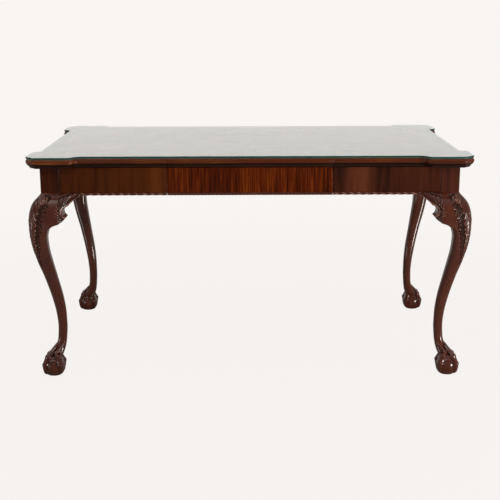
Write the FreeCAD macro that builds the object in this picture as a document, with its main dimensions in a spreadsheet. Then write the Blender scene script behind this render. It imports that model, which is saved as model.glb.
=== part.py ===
"""Chippendale-style writing desk: three frieze drawers, four cabriole legs on ball-and-claw feet,
a moulded top with projecting corners and a loose glass sheet on it.

Frame: millimetres, +X to the right, +Y to the back, +Z up, origin on the floor under the middle.
The drawers slide out towards -Y.
"""
import FreeCAD, Part
import math
import os
import Sketcher
from FreeCAD import Placement, Rotation, Vector

# Driving dimensions: name, value in millimetres (degrees or counts where the note says so), note.
DIMENSIONS = [
    ("desk_height", 775, "floor to the upper face of the glass"),
    ("case_width", 1409, "outer face to outer face of the leg posts, along X"),
    ("case_depth", 788, "outer face to outer face of the leg posts, along Y"),
    ("top_overhang", 43, "corner blocks of the top, beyond the post faces"),
    ("glass_thickness", 6, "float glass"),
    ("glass_inset", 1, "glass edge inside the edge of the wood"),
    ("glass_arris", 1, "ground arris of the glass"),
    ("bumper_thickness", 1, "clear disc between glass and wood"),
    ("bumper_diameter", 12, "clear disc"),
    ("bumper_inset", 60, "disc centres inside the core of the top"),
    ("top_thickness", 31, "wooden top with its moulding"),
    ("edge_step", 28, "middle of each side is set back by this from the corner blocks"),
    ("front_run", 142, "corner block along the front, from the end of the top to its ogee step"),
    ("side_run", 125, "corner block along the side, to its ogee step"),
    ("ogee_radius", 22, "both arcs of the ogee step"),
    ("corner_cant", 30, "canted outer corner"),
    ("cant_round", 20, "softening of the two edges of the cant"),
    ("upper_band", 18, "height of the upper, bullnosed band of the moulding"),
    ("upper_bevel", 5, "bevels of the bullnosed band"),
    ("quirk", 2, "lower band of the moulding set in by this"),
    ("lower_bevel", 12, "bevel of the lower band"),
    ("moulding_depth", 36, "glued moulding in front of the core at mid side"),
    ("centre_moulding", 560, "length of the middle moulding of the front and back"),
    ("frieze_height", 87.5, "aprons, from the underside of the top"),
    ("post_width", 63.5, "square post of each leg"),
    ("post_arris", 2, "softened edges of the post"),
    ("apron_thickness", 20, "aprons"),
    ("tenon_thickness", 9, "tenons of aprons and rails"),
    ("tenon_length", 28, "tenons of aprons and rails"),
    ("tenon_shoulder", 12, "tenon narrower than its board by this on both edges"),
    ("joint_clearance", 0.2, "play of a tenon or panel in its slot"),
    ("rail_depth", 54, "front rails, front to back"),
    ("upper_rail_thickness", 12, "front upper rail"),
    ("lower_rail_thickness", 15, "front lower rail and runners"),
    ("lower_rail_drop", 6.5, "underside of the lower rail below the frieze"),
    ("rail_tenon_inset", 10, "rail tenons inside the rail's front and the post's back face"),
    ("rail_tenon_shoulder", 2, "rail tenons thinner than the rail by this above and below"),
    ("partition_thickness", 18, "upright boards between the drawers"),
    ("partition_runner", 44, "runner under each partition, width"),
    ("runner_guide", 20, "guide strip on the outer runners, width"),
    ("runner_guide_rise", 20, "guide strip above the runner"),
    ("bead_height", 10, "carved bead strips"),
    ("bead_depth", 14, "carved bead strips, front to back"),
    ("bead_proud", 1.5, "bead strips in front of the face above them"),
    ("bead_round", 4, "rounded edges of the bead strips"),
    ("block_leg", 70, "back corner blocks along each apron"),
    ("block_height", 18, "back corner blocks"),
    ("screw_diameter", 4, "screws that hold the top"),
    ("screw_length", 32, "screws that hold the top"),
    ("screw_head", 8, "screw head diameter"),
    ("screw_head_height", 2.5, "pan head"),
    ("screw_spacing", 400, "screws in the front upper rail"),
    ("pilot_spare", 1, "pilot holes deeper than the screws"),
    ("block_screw_inset", 7, "screw of a corner block, from the corner of the post"),
    ("centre_front", 556, "centre drawer front, width"),
    ("front_seam", 2, "seam between neighbouring drawer fronts"),
    ("post_seam", 1, "seam between a drawer front and a post"),
    ("front_thickness", 20, "drawer fronts"),
    ("front_top_gap", 2, "drawer fronts below the top"),
    ("front_bottom_gap", 1, "drawer fronts above the knee brackets"),
    ("front_arris", 1, "softened edges of the drawer fronts"),
    ("rail_gap", 0.5, "shut drawer front to the rails behind it"),
    ("bracket_end_gap", 1.5, "bead strips to the ends of the knee brackets"),
    ("drawer_length", 440, "drawer box behind its front"),
    ("drawer_height", 58, "drawer sides"),
    ("side_thickness", 12, "drawer sides"),
    ("back_thickness", 10, "drawer backs"),
    ("bottom_thickness", 5, "drawer bottoms"),
    ("bottom_groove", 6, "depth of the groove for the bottom"),
    ("bottom_rise", 8, "groove above the lower edge of the side"),
    ("drawer_play", 1.5, "drawer box to the partition or post beside it"),
    ("runner_play", 0.3, "drawer side above its runner"),
    ("bracket_length", 66, "knee bracket, out from the post"),
    ("bracket_back", 20, "knee bracket behind the post face"),
    ("bracket_front", 38, "knee bracket in front of the post face, at the knee"),
    ("bracket_wing_front", 3, "knee bracket in front of the post face, at the tip"),
    ("bracket_height", 97, "knee bracket, top to the foot of the scroll"),
    ("bracket_wing", 11, "height of the tip of the wing"),
    ("scroll_height", 36, "opening of the C-scroll"),
    ("scroll_waist", 11, "wood left behind the deepest part of the scroll"),
    ("scroll_hook", 21, "hook of the scroll, out from the post"),
    ("scroll_nose", 28, "upper end of the scroll, out from the post"),
    ("scroll_top", 43, "upper end of the scroll, below the top of the bracket"),
    ("wing_sag", 3, "underside of the wing, below the straight line"),
    ("hook_swell", 5, "underside of the hook, outside the straight line"),
    ("bracket_brow", 75, "front of the bracket curves forward over this height"),
    ("bracket_brow_swell", 11, "front of the bracket, in front of the straight line down the knee"),
    ("bracket_hollow", 8, "front of the bracket, behind the straight line out to the tip"),
    ("bracket_top_front", 1, "front of the bracket in front of the post face, at the top"),
    ("foot_offset", 12.5, "centre of the foot inside the post faces"),
    ("ball_radius", 40, "ball of the foot"),
    ("ball_centre", 28, "height of the centre of the ball"),
    ("talon_start", 12, "first section of the talon, out from the axis of the ball"),
    ("talon_start_height", 73, "first section of the talon"),
    ("talon_start_radius", 7, "first section of the talon"),
    ("knuckle_reach", 26, "upper knuckle, out from the axis of the ball"),
    ("knuckle_height", 63, "upper knuckle"),
    ("knuckle_radius", 9.5, "upper knuckle"),
    ("phalanx_reach", 36, "between the knuckles, out from the axis of the ball"),
    ("phalanx_height", 52, "between the knuckles"),
    ("phalanx_radius", 7, "between the knuckles"),
    ("joint_reach", 40.5, "lower knuckle, out from the axis of the ball"),
    ("joint_height", 39, "lower knuckle"),
    ("joint_radius", 8, "lower knuckle"),
    ("claw_reach", 41, "root of the claw, out from the axis of the ball"),
    ("claw_height", 21, "root of the claw"),
    ("claw_radius", 6, "root of the claw"),
    ("claw_tip_reach", 35, "tip of the claw, out from the axis of the ball"),
    ("claw_tip_height", 4, "tip of the claw"),
    ("claw_tip_radius", 3.5, "tip of the claw"),
]
# Cross-sections of the cabriole below the post, from the top: name, drop below the section before,
# outer face beyond the post face, width (0 where the inner faces are the seats of the brackets),
# rounding of the outer corner, rounding of the other corners.
KNEE_SECTIONS = [
    ("knee_shoulder", 12, 11, 0, 8, 1),
    ("knee_swell", 16, 26, 0, 16, 1),
    ("knee_brow", 22, 36.5, 0, 24, 1),
    ("knee_crown", 28, 42, 0, 28, 1),
    ("knee_base", 20, 43.5, 0, 28, 1),
    ("knee_throat", 10, 43, 82, 26, 12),
    ("calf_top", 14, 42.5, 66, 24, 14),
    ("calf_bow", 28, 40, 57.5, 22, 16),
    ("calf", 38, 34, 54, 20, 18),
    ("calf_low", 52, 21, 49.5, 19, 18),
    ("shin_top", 54, 5, 43.5, 17, 17),
]
# Cross-sections from the floor up to the shin: name, rise above the section before, then as above.
FOOT_SECTIONS = [
    ("instep", 60, 14, 53, 25, 25),
    ("instep_top", 18, -6, 41, 19, 19),
    ("ankle_flare", 20, -18, 34.5, 15, 15),
    ("ankle_low", 30, -26, 30.5, 13, 13),
    ("ankle", 42, -28, 31, 13, 13),
    ("ankle_high", 42, -25, 33.5, 14, 14),
    ("shin", 54, -16, 38, 16, 16),
]

doc = FreeCAD.newDocument("writing_desk")
sheet = doc.addObject("Spreadsheet::Sheet", "Dims")
values = {}


class Size:
    """A length that knows its number and the spreadsheet formula it comes from."""

    def __init__(self, value, text):
        self.value = float(value)
        self.text = text

    def __add__(self, other):
        other = size(other)
        return Size(self.value + other.value, f"({self.text} + {other.text})")

    def __sub__(self, other):
        other = size(other)
        return Size(self.value - other.value, f"({self.text} - {other.text})")

    def __mul__(self, other):
        other = size(other)
        return Size(self.value * other.value, f"({self.text} * {other.text})")

    def __truediv__(self, other):
        other = size(other)
        return Size(self.value / other.value, f"({self.text} / {other.text})")

    def __radd__(self, other):
        return size(other) + self

    def __rsub__(self, other):
        return size(other) - self

    def __rmul__(self, other):
        return size(other) * self

    def __neg__(self):
        return size(0) - self


def size(number):
    """Turn a plain number into a Size."""
    return number if isinstance(number, Size) else Size(number, repr(float(number)))


def add_cell(name, value, note):
    """Write one driving dimension on the next row of the sheet."""
    row = len(values) + 1
    sheet.set(f"A{row}", name)
    sheet.set(f"B{row}", str(value))
    sheet.set(f"C{row}", note)
    sheet.setAlias(f"B{row}", name)
    values[name] = value


def dim(name):
    """The driving dimension of that name."""
    return Size(values[name], f"Dims.{name}")


def bind(obj, prop, value):
    """Bind a property or a named constraint to a Size."""
    obj.setExpression(prop, size(value).text)


# Chords that stand in for each round: the outer arris of a leg and its other three corners, an arc
# of the edge of the top, and the ball of the foot from floor to crown.
CORNER_CHORDS = (3, 2, 2, 2)
OGEE_CHORDS = 3
CANT_CHORDS = 2
BALL_CHORDS = 5
# Sides of the bars that stand in for small round ones.
ROUND_SIDES = 8
SECTION_FIELDS = ("step", "outer", "width", "corner", "side")
for name, value, note in DIMENSIONS:
    add_cell(name, value, note)
for name, *numbers in KNEE_SECTIONS + FOOT_SECTIONS:
    for field, value in zip(SECTION_FIELDS, numbers):
        add_cell(f"{name}_{field}", value, f"leg section {name.replace('_', ' ')}: {field}")
doc.recompute()

# Levels and faces that several pieces share.
WOOD_TOP = dim("desk_height") - dim("glass_thickness") - dim("bumper_thickness")
TOP_UNDERSIDE = WOOD_TOP - dim("top_thickness")
FRIEZE_BOTTOM = TOP_UNDERSIDE - dim("frieze_height")
CASE_X = dim("case_width") / 2
CASE_Y = dim("case_depth") / 2
TOP_X = CASE_X + dim("top_overhang")
TOP_Y = CASE_Y + dim("top_overhang")
INNER_X = CASE_X - dim("post_width")
INNER_Y = CASE_Y - dim("post_width")
CORE_X = TOP_X - dim("edge_step") - dim("moulding_depth")
CORE_Y = TOP_Y - dim("edge_step") - dim("moulding_depth")
RAIL_FRONT = -CASE_Y + dim("front_thickness") + dim("rail_gap")
RAIL_BACK = RAIL_FRONT + dim("rail_depth")
BACK_APRON_FACE = CASE_Y - dim("apron_thickness")
LOWER_RAIL_BOTTOM = FRIEZE_BOTTOM - dim("lower_rail_drop")
RUNNER_TOP = LOWER_RAIL_BOTTOM + dim("lower_rail_thickness")
UPPER_RAIL_BOTTOM = TOP_UNDERSIDE - dim("upper_rail_thickness")
FRONT_BOTTOM = FRIEZE_BOTTOM + dim("front_bottom_gap")
FRONT_HEIGHT = TOP_UNDERSIDE - dim("front_top_gap") - FRONT_BOTTOM
SEAM_X = dim("centre_front") / 2 + dim("front_seam") / 2

nodes = []


def node(obj, label):
    """Give an object the name of its sub-part and list it for export."""
    obj.Label = label
    nodes.append(obj)
    return obj


# ---------------------------------------------------------------- sketch and feature helpers

def new_body(name, x=0, y=0, z=0):
    """An empty body whose placement is bound to the sheet."""
    body = doc.addObject("PartDesign::Body", name)
    for axis, value in zip("xyz", (x, y, z)):
        bind(body, f"Placement.Base.{axis}", value)
    return body


def new_sketch(body, name, role="XY_Plane", offset=0, right=0, up=0):
    """A sketch on one of the body's origin planes, moved along its normal and within the plane."""
    sketch = body.newObject("Sketcher::SketchObject", name)
    origin_plane = next(item for item in body.Origin.OriginFeatures if item.Role == role)
    sketch.AttachmentSupport = [(origin_plane, "")]
    sketch.MapMode = "FlatFace"
    for axis, value in zip("xyz", (right, up, offset)):
        bind(sketch, f"AttachmentOffset.Base.{axis}", value)
    return sketch


def fix_point(sketch, edge, end, x, y):
    """Dimension a point of a sketch from the origin; a zero puts it on the axis."""
    for kind, axis, value in (("DistanceX", -2, size(x)), ("DistanceY", -1, size(y))):
        if value.text == "0.0":
            sketch.addConstraint(Sketcher.Constraint("PointOnObject", edge, end, axis))
        else:
            index = sketch.addConstraint(
                Sketcher.Constraint(kind, -1, 1, edge, end, value.value))
            bind(sketch, f"Constraints[{index}]", value)


def rectangle(sketch, x0, y0, x1, y1):
    """A rectangle between two opposite corners."""
    low = (size(x0), size(y0))
    high = (size(x1), size(y1))
    corners = [(low[0], low[1]), (high[0], low[1]), (high[0], high[1]), (low[0], high[1])]
    points = [Vector(x.value, y.value, 0) for x, y in corners]
    first = sketch.GeometryCount
    for index in range(4):
        sketch.addGeometry(Part.LineSegment(points[index], points[(index + 1) % 4]))
    for index in range(4):
        after = (index + 1) % 4
        sketch.addConstraint(
            Sketcher.Constraint("Coincident", first + index, 2, first + after, 1))
        kind = "Horizontal" if index % 2 == 0 else "Vertical"
        sketch.addConstraint(Sketcher.Constraint(kind, first + index))
    fix_point(sketch, first, 1, *low)
    fix_point(sketch, first + 2, 1, *high)


def close_profile(sketch, edges, smooth=()):
    """Join lines and arcs, given in order round the profile; smooth names the tangent joints."""
    for edge in edges:
        sketch.addGeometry(edge)
    count = len(edges)
    for index in range(count):
        after = (index + 1) % count
        ends = [(a, b) for a, p in ((1, edges[index].StartPoint), (2, edges[index].EndPoint))
                for b, q in ((1, edges[after].StartPoint), (2, edges[after].EndPoint))
                if p.distanceToPoint(q) < 1e-6]
        kind = "Tangent" if index in smooth else "Coincident"
        sketch.addConstraint(Sketcher.Constraint(kind, index, ends[0][0], after, ends[0][1]))


def set_radius(sketch, edge, radius):
    """Dimension the radius of an arc or a circle."""
    number = sketch.addConstraint(Sketcher.Constraint("Radius", edge, radius.value))
    bind(sketch, f"Constraints[{number}]", radius)


def chord_arc(sketch, edge, count):
    """Equal chords in place of an arc of a sketch, which stays as their construction line."""
    arc = sketch.Geometry[edge]
    sketch.toggleConstruction(edge)
    sweep = arc.LastParameter - arc.FirstParameter
    points = [arc.value(arc.FirstParameter + sweep * k / count) for k in range(count + 1)]
    first = sketch.GeometryCount
    for start, end in zip(points, points[1:]):
        sketch.addGeometry(Part.LineSegment(start, end))
    sketch.addConstraint(Sketcher.Constraint("Coincident", first, 1, edge, 1))
    sketch.addConstraint(Sketcher.Constraint("Coincident", first + count - 1, 2, edge, 2))
    for chord in range(first, first + count - 1):
        sketch.addConstraint(Sketcher.Constraint("Coincident", chord, 2, chord + 1, 1))
        sketch.addConstraint(Sketcher.Constraint("PointOnObject", chord, 2, edge))
        sketch.addConstraint(Sketcher.Constraint("Equal", chord, chord + 1))


def swelling_arc(start, end, swell):
    """An arc whose middle lies to the right of the straight way from start to end by swell."""
    way = end - start
    bow = abs(swell)
    radius = (way.Length ** 2 / 4 + bow ** 2) / (2 * bow)
    right = Vector(way.y, -way.x, 0) / way.Length
    centre = (start + end) * 0.5 + right * (swell - math.copysign(radius, swell))
    first, last = (start, end) if swell > 0 else (end, start)
    angles = [math.atan2(point.y - centre.y, point.x - centre.x) for point in (first, last)]
    return Part.ArcOfCircle(Part.Circle(centre, Vector(0, 0, 1), radius), *angles)


def dimensioned_profile(sketch, corners, swells=None):
    """A closed profile through the corners; swells maps an edge to how far its arc bows right."""
    swells = swells or {}
    corners = [(size(x), size(y)) for x, y in corners]
    points = [Vector(x.value, y.value, 0) for x, y in corners]
    count = len(points)
    edges = []
    for index in range(count):
        ends = (points[index], points[(index + 1) % count])
        if index in swells:
            edges.append(swelling_arc(*ends, swells[index].value))
        else:
            edges.append(Part.LineSegment(*ends))
    close_profile(sketch, edges)
    for index, (x, y) in enumerate(corners):
        here = edges[index].StartPoint.distanceToPoint(points[index]) < 1e-6
        fix_point(sketch, index, 1 if here else 2, x, y)
    for index, swell in swells.items():
        (x0, y0), (x1, y1) = corners[index], corners[(index + 1) % count]
        bow = swell if swell.value > 0 else -swell
        chord = (x1 - x0) * (x1 - x0) + (y1 - y0) * (y1 - y0)
        set_radius(sketch, index, (chord / 4 + bow * bow) / (bow * 2))


def eased_rectangle(sketch, x0, y0, x1, y1, radii):
    """A rectangle whose corners are eased by chords of a round; radii go round from (x0, y0)."""
    sides_x = ((size(x0), 1), (size(x1), -1))
    sides_y = ((size(y0), 1), (size(y1), -1))
    points = []
    corners = ((0, 0), (1, 0), (1, 1), (0, 1))
    for (column, row), radius, chords in zip(corners, radii, CORNER_CHORDS):
        for step in range(chords + 1):
            turn = math.pi / 2 * step / chords
            factors = [1 - math.cos(turn), 1 - math.sin(turn)]
            if column != row:
                factors.reverse()
            point = []
            for (side, inward), factor in zip((sides_x[column], sides_y[row]), factors):
                on_side = factor < 1e-9
                point.append(side if on_side else side + radius * round(inward * factor, 9))
            points.append(point)
    dimensioned_profile(sketch, points)


def pad(body, sketch, length, midplane=False, reverse=False):
    """Pad a sketch by a length along its normal, or half to each side."""
    feature = body.newObject("PartDesign::Pad", f"{sketch.Name}_pad")
    feature.Profile = sketch
    feature.Midplane = midplane
    feature.Reversed = reverse
    bind(feature, "Length", length)
    sketch.Visibility = False
    return feature


def pocket(body, sketch, length, midplane=False, reverse=False):
    """Cut a sketch out of the body."""
    feature = body.newObject("PartDesign::Pocket", f"{sketch.Name}_pocket")
    feature.Profile = sketch
    feature.Midplane = midplane
    feature.Reversed = reverse
    bind(feature, "Length", length)
    sketch.Visibility = False
    return feature


def dress_edges(body, base, amount, chosen, kind="Fillet"):
    """Fillet or chamfer those edges of the body's last feature that the test picks."""
    doc.recompute()
    names = [f"Edge{number}" for number, edge in enumerate(base.Shape.Edges, 1) if chosen(edge)]
    feature = body.newObject(f"PartDesign::{kind}", f"{base.Name}_dressed")
    feature.Base = (base, names)
    bind(feature, "Radius" if kind == "Fillet" else "Size", amount)
    return feature


def board(label, corner, extent):
    """A plain board: its lowest corner and its sizes along X, Y and Z."""
    body = new_body(label, *corner)
    sketch = new_sketch(body, f"{label}_outline")
    rectangle(sketch, 0, 0, extent[0], extent[1])
    pad(body, sketch, extent[2])
    return node(body, label)


def mirrored(source, label, normal):
    """The mirror image of a sub-part in the plane through the origin with that normal."""
    image = doc.addObject("Part::Mirroring", label)
    image.Source = source
    image.Normal = Vector(*normal)
    return node(image, label)


# ---------------------------------------------------------------- legs

def leg_sections():
    """Name and height of every cross-section of the cabriole, from the top down."""
    sections = []
    height = FRIEZE_BOTTOM
    for name, *_, in KNEE_SECTIONS:
        height = height - dim(f"{name}_step")
        sections.append((name, height))
    height = size(0)
    risen = []
    for name, *_ in FOOT_SECTIONS:
        height = height + dim(f"{name}_step")
        risen.append((name, height))
    return sections + risen[::-1]


def mortise(body, name, role, offset, corners, reverse):
    """A slot for a tenon, cut into an inner face of the post."""
    sketch = new_sketch(body, name, role, offset)
    rectangle(sketch, *corners)
    depth = dim("tenon_length") + dim("joint_clearance")
    return pocket(body, sketch, depth, reverse=reverse)


def tenon_band(thickness):
    """Both faces of a tenon in the middle of a board of the aprons' thickness."""
    low = (thickness - dim("tenon_thickness")) / 2
    return low, low + dim("tenon_thickness")


APRON_TENON = tenon_band(dim("apron_thickness"))
APRON_TENON_LEVELS = (FRIEZE_BOTTOM + dim("tenon_shoulder"), TOP_UNDERSIDE - dim("tenon_shoulder"))
RAIL_LEVELS = {
    "upper": (UPPER_RAIL_BOTTOM, TOP_UNDERSIDE),
    "lower": (LOWER_RAIL_BOTTOM, RUNNER_TOP),
}
RAIL_TENON_FRONT = dim("front_thickness") + dim("rail_gap") + dim("rail_tenon_inset")
RAIL_TENON_BACK = dim("post_width") - dim("rail_tenon_inset")
TALON_SIDES = 6


def talon_section(sketch, radius):
    """A regular polygon round the origin, with the same number of sides for every section."""
    circle = Part.Circle(Vector(0, 0, 0), Vector(0, 0, 1), radius.value)
    sketch.addGeometry(circle, True)
    sketch.addConstraint(Sketcher.Constraint("Coincident", 0, 3, -1, 1))
    set_radius(sketch, 0, radius)
    turn = 2 * math.pi / TALON_SIDES
    corners = [Vector(math.cos(turn * k), math.sin(turn * k), 0) * radius.value
               for k in range(TALON_SIDES)]
    for k, corner in enumerate(corners):
        sketch.addGeometry(Part.LineSegment(corner, corners[(k + 1) % TALON_SIDES]))
    for k in range(TALON_SIDES):
        sketch.addConstraint(Sketcher.Constraint("Coincident", k + 1, 2,
                                                 (k + 1) % TALON_SIDES + 1, 1))
        sketch.addConstraint(Sketcher.Constraint("PointOnObject", k + 1, 1, 0))
    for k in range(1, TALON_SIDES):
        sketch.addConstraint(Sketcher.Constraint("Equal", k, k + 1))
    sketch.addConstraint(Sketcher.Constraint("PointOnObject", 1, 1, -1))


def add_foot(body, name):
    """Flattened ball with four talons round its upright axis."""
    out = dim("foot_offset")
    ball = new_sketch(body, f"{name}_ball", "XZ_Plane", -out, right=out)
    radius = dim("ball_radius").value
    centre = dim("ball_centre").value
    flat = math.sqrt(radius ** 2 - centre ** 2)
    top = Vector(0, centre + radius, 0)
    corner = Vector(flat, 0, 0)
    origin = Vector(0, 0, 0)
    side = Vector(radius, centre, 0)
    ball.addGeometry(Part.LineSegment(top, origin))
    ball.addGeometry(Part.LineSegment(origin, corner))
    ball.addGeometry(Part.Arc(corner, side, top))
    ball.addConstraint(Sketcher.Constraint("Coincident", 0, 2, -1, 1))
    ball.addConstraint(Sketcher.Constraint("Coincident", 0, 2, 1, 1))
    ball.addConstraint(Sketcher.Constraint("Coincident", 1, 2, 2, 1))
    ball.addConstraint(Sketcher.Constraint("Coincident", 2, 2, 0, 1))
    ball.addConstraint(Sketcher.Constraint("Vertical", 0))
    ball.addConstraint(Sketcher.Constraint("Horizontal", 1))
    ball.addConstraint(Sketcher.Constraint("PointOnObject", 2, 3, -2))
    set_radius(ball, 2, dim("ball_radius"))
    fixed = ball.addConstraint(Sketcher.Constraint("DistanceY", -1, 1, 2, 3, centre))
    bind(ball, f"Constraints[{fixed}]", dim("ball_centre"))
    chord_arc(ball, 2, BALL_CHORDS)
    turned = body.newObject("PartDesign::Revolution", f"{name}_ball_turned")
    turned.Profile = ball
    turned.ReferenceAxis = (ball, ["V_Axis"])
    turned.Angle = 360

    stations = [(dim("talon_start"), dim("talon_start_height"), dim("talon_start_radius"))]
    for part in ("knuckle", "phalanx", "joint", "claw", "claw_tip"):
        stations.append((dim(f"{part}_reach"), dim(f"{part}_height"), dim(f"{part}_radius")))
    diagonal = -1 / math.sqrt(2)
    rings = []
    for index, (reach, height, radius) in enumerate(stations):
        before = stations[max(index - 1, 0)]
        after = stations[min(index + 1, len(stations) - 1)]
        run = after[0].value - before[0].value
        fall = after[1].value - before[1].value
        ring = new_sketch(body, f"{name}_talon_{index}", "XY_Plane", height,
                          right=out + reach * diagonal, up=out + reach * diagonal)
        offset = ring.AttachmentOffset
        offset.Rotation = Rotation(Vector(0, 0, 1), Vector(run * diagonal, run * diagonal, fall))
        ring.AttachmentOffset = offset
        talon_section(ring, radius)
        rings.append(ring)
    talon = body.newObject("PartDesign::AdditiveLoft", f"{name}_talon")
    talon.Profile = rings[0]
    talon.Sections = rings[1:]
    talon.Ruled = True
    claws = body.newObject("PartDesign::PolarPattern", f"{name}_claws")
    claws.Originals = [talon]
    claws.Axis = (ball, ["V_Axis"])
    claws.Angle = 360
    claws.Occurrences = 4
    body.Tip = claws
    return claws


def leg_body(name, back):
    """A whole leg, drawn at the front left corner; back legs take the back apron's tenon."""
    body = new_body(name, -CASE_X, -CASE_Y, 0)
    post = new_sketch(body, f"{name}_post", offset=FRIEZE_BOTTOM)
    width = dim("post_width")
    arris = dim("post_arris")
    eased_rectangle(post, 0, 0, width, width, [arris] * 4)
    pad(body, post, dim("frieze_height"))

    first = new_sketch(body, f"{name}_knee_top", offset=FRIEZE_BOTTOM)
    eased_rectangle(first, 0, 0, width, width, [arris] * 4)
    sketches = [first]
    for section, height in leg_sections():
        outer = dim(f"{section}_outer")
        inner = width if values[f"{section}_width"] == 0 else dim(f"{section}_width") - outer
        side = dim(f"{section}_side")
        sketch = new_sketch(body, f"{name}_{section}", offset=height)
        eased_rectangle(sketch, -outer, -outer, inner, inner,
                          [dim(f"{section}_corner"), side, side, side])
        sketches.append(sketch)
    cabriole = body.newObject("PartDesign::AdditiveLoft", f"{name}_cabriole")
    cabriole.Profile = sketches[0]
    cabriole.Sections = sketches[1:]
    cabriole.Ruled = True

    play = dim("joint_clearance")
    low, high = APRON_TENON_LEVELS
    near, far = APRON_TENON
    mortise(body, f"{name}_side_mortise", "XZ_Plane", -width,
            (near - play, low - play, far + play, high + play), True)
    if back:
        mortise(body, f"{name}_back_mortise", "YZ_Plane", width,
                (near - play, low - play, far + play, high + play), False)
    else:
        shoulder = dim("rail_tenon_shoulder")
        for rail, (bottom, top) in RAIL_LEVELS.items():
            mortise(body, f"{name}_{rail}_mortise", "YZ_Plane", width,
                    (RAIL_TENON_FRONT - play, bottom + shoulder - play,
                     RAIL_TENON_BACK + play, top - shoulder + play), False)
    add_foot(body, name)
    return body


LEFT_RIGHT = (1, 0, 0)
FRONT_BACK = (0, 1, 0)

front_left_leg = node(leg_body("front_left_leg", back=False), "front_left_leg")
mirrored(front_left_leg, "front_right_leg", LEFT_RIGHT)
back_leg_pattern = leg_body("back_leg_pattern", back=True)
back_left_leg = mirrored(back_leg_pattern, "back_left_leg", FRONT_BACK)
mirrored(back_left_leg, "back_right_leg", LEFT_RIGHT)


# ---------------------------------------------------------------- knee brackets

def bracket_body(name):
    """C-scroll bracket on the front face of the front left knee."""
    body = new_body(name, -CASE_X, -CASE_Y, 0)
    seat = dim("post_width")
    top = FRIEZE_BOTTOM
    tip = seat + dim("bracket_length")
    scroll = new_sketch(body, f"{name}_scroll", "XZ_Plane", -dim("bracket_back"))
    nose = (seat + dim("scroll_nose"), top - dim("scroll_top"))
    hook = (seat + dim("scroll_hook"), nose[1] - dim("scroll_height"))
    hollow = (dim("scroll_nose") + dim("scroll_hook")) / 2 - dim("scroll_waist")
    dimensioned_profile(
        scroll,
        [(seat, top), (tip, top), (tip, top - dim("bracket_wing")), nose, hook,
         (seat, top - dim("bracket_height"))],
        {2: -dim("wing_sag"), 3: hollow, 4: -dim("hook_swell")})
    pad(body, scroll, dim("bracket_front") + dim("bracket_back"))

    front = dim("bracket_front")
    beyond = -front - dim("bracket_length")
    plan = new_sketch(body, f"{name}_plan", offset=top)
    dimensioned_profile(
        plan, [(seat, -front), (tip, -dim("bracket_wing_front")), (tip, beyond), (seat, beyond)],
        {0: -dim("bracket_hollow")})
    pocket(body, plan, dim("bracket_height"))

    brow = new_sketch(body, f"{name}_brow", "YZ_Plane", seat)
    brow_foot = top - dim("bracket_brow")
    dimensioned_profile(
        brow, [(-dim("bracket_top_front"), top), (-front, brow_foot), (beyond, brow_foot),
               (beyond, top)],
        {0: -dim("bracket_brow_swell")})
    pocket(body, brow, dim("bracket_length"), reverse=True)
    return body


front_bracket = node(bracket_body("front_left_bracket_front"), "front_left_bracket_front")
side_bracket = mirrored(front_bracket, "front_left_bracket_side", (1, -1, 0))
bind(side_bracket, "Base.x", -CASE_X)
bind(side_bracket, "Base.y", -CASE_Y)
mirrored(front_bracket, "front_right_bracket_front", LEFT_RIGHT)
mirrored(side_bracket, "front_right_bracket_side", LEFT_RIGHT)
back_bracket = mirrored(front_bracket, "back_left_bracket_back", FRONT_BACK)
back_side_bracket = mirrored(side_bracket, "back_left_bracket_side", FRONT_BACK)
mirrored(back_bracket, "back_right_bracket_back", LEFT_RIGHT)
mirrored(back_side_bracket, "back_right_bracket_side", LEFT_RIGHT)


# ---------------------------------------------------------------- aprons and rails

def add_tenons(body, name, role, corners, span):
    """One bar through the middle of a board, whose ends are its two tenons."""
    bar = new_sketch(body, f"{name}_tenons", role)
    rectangle(bar, *corners)
    pad(body, bar, span + dim("tenon_length") * 2, midplane=True)


def bead_strip(label, corner, length, along_x=True):
    """Carved strip under a face: rounded on both long edges of its visible face."""
    body = new_body(label, *corner)
    depth = dim("bead_depth")
    sketch = new_sketch(body, f"{label}_outline")
    if along_x:
        rectangle(sketch, 0, 0, length, depth)
    else:
        rectangle(sketch, 0, 0, depth, length)
    base = pad(body, sketch, dim("bead_height"))

    def on_face(edge):
        box = edge.BoundBox
        flat = box.ZLength < 1e-6
        if along_x:
            return flat and box.XLength > 1e-6 and abs(box.YMin) < 1e-6
        return flat and box.YLength > 1e-6 and abs(box.XMin) < 1e-6

    dress_edges(body, base, dim("bead_round"), on_face)
    return node(body, label)


thick = dim("apron_thickness")
shoulder = dim("tenon_shoulder")
left_apron = new_body("left_apron", -CASE_X, 0, FRIEZE_BOTTOM)
outline = new_sketch(left_apron, "left_apron_outline")
rectangle(outline, 0, -INNER_Y, thick, INNER_Y)
pad(left_apron, outline, dim("frieze_height"))
add_tenons(left_apron, "left_apron", "XZ_Plane",
           (APRON_TENON[0], shoulder, APRON_TENON[1], dim("frieze_height") - shoulder),
           INNER_Y * 2)
node(left_apron, "left_apron")
mirrored(left_apron, "right_apron", LEFT_RIGHT)

back_apron = new_body("back_apron", 0, BACK_APRON_FACE, FRIEZE_BOTTOM)
outline = new_sketch(back_apron, "back_apron_outline")
rectangle(outline, -INNER_X, 0, INNER_X, thick)
pad(back_apron, outline, dim("frieze_height"))
add_tenons(back_apron, "back_apron", "YZ_Plane",
           (APRON_TENON[0], shoulder, APRON_TENON[1], dim("frieze_height") - shoulder),
           INNER_X * 2)
node(back_apron, "back_apron")

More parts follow.
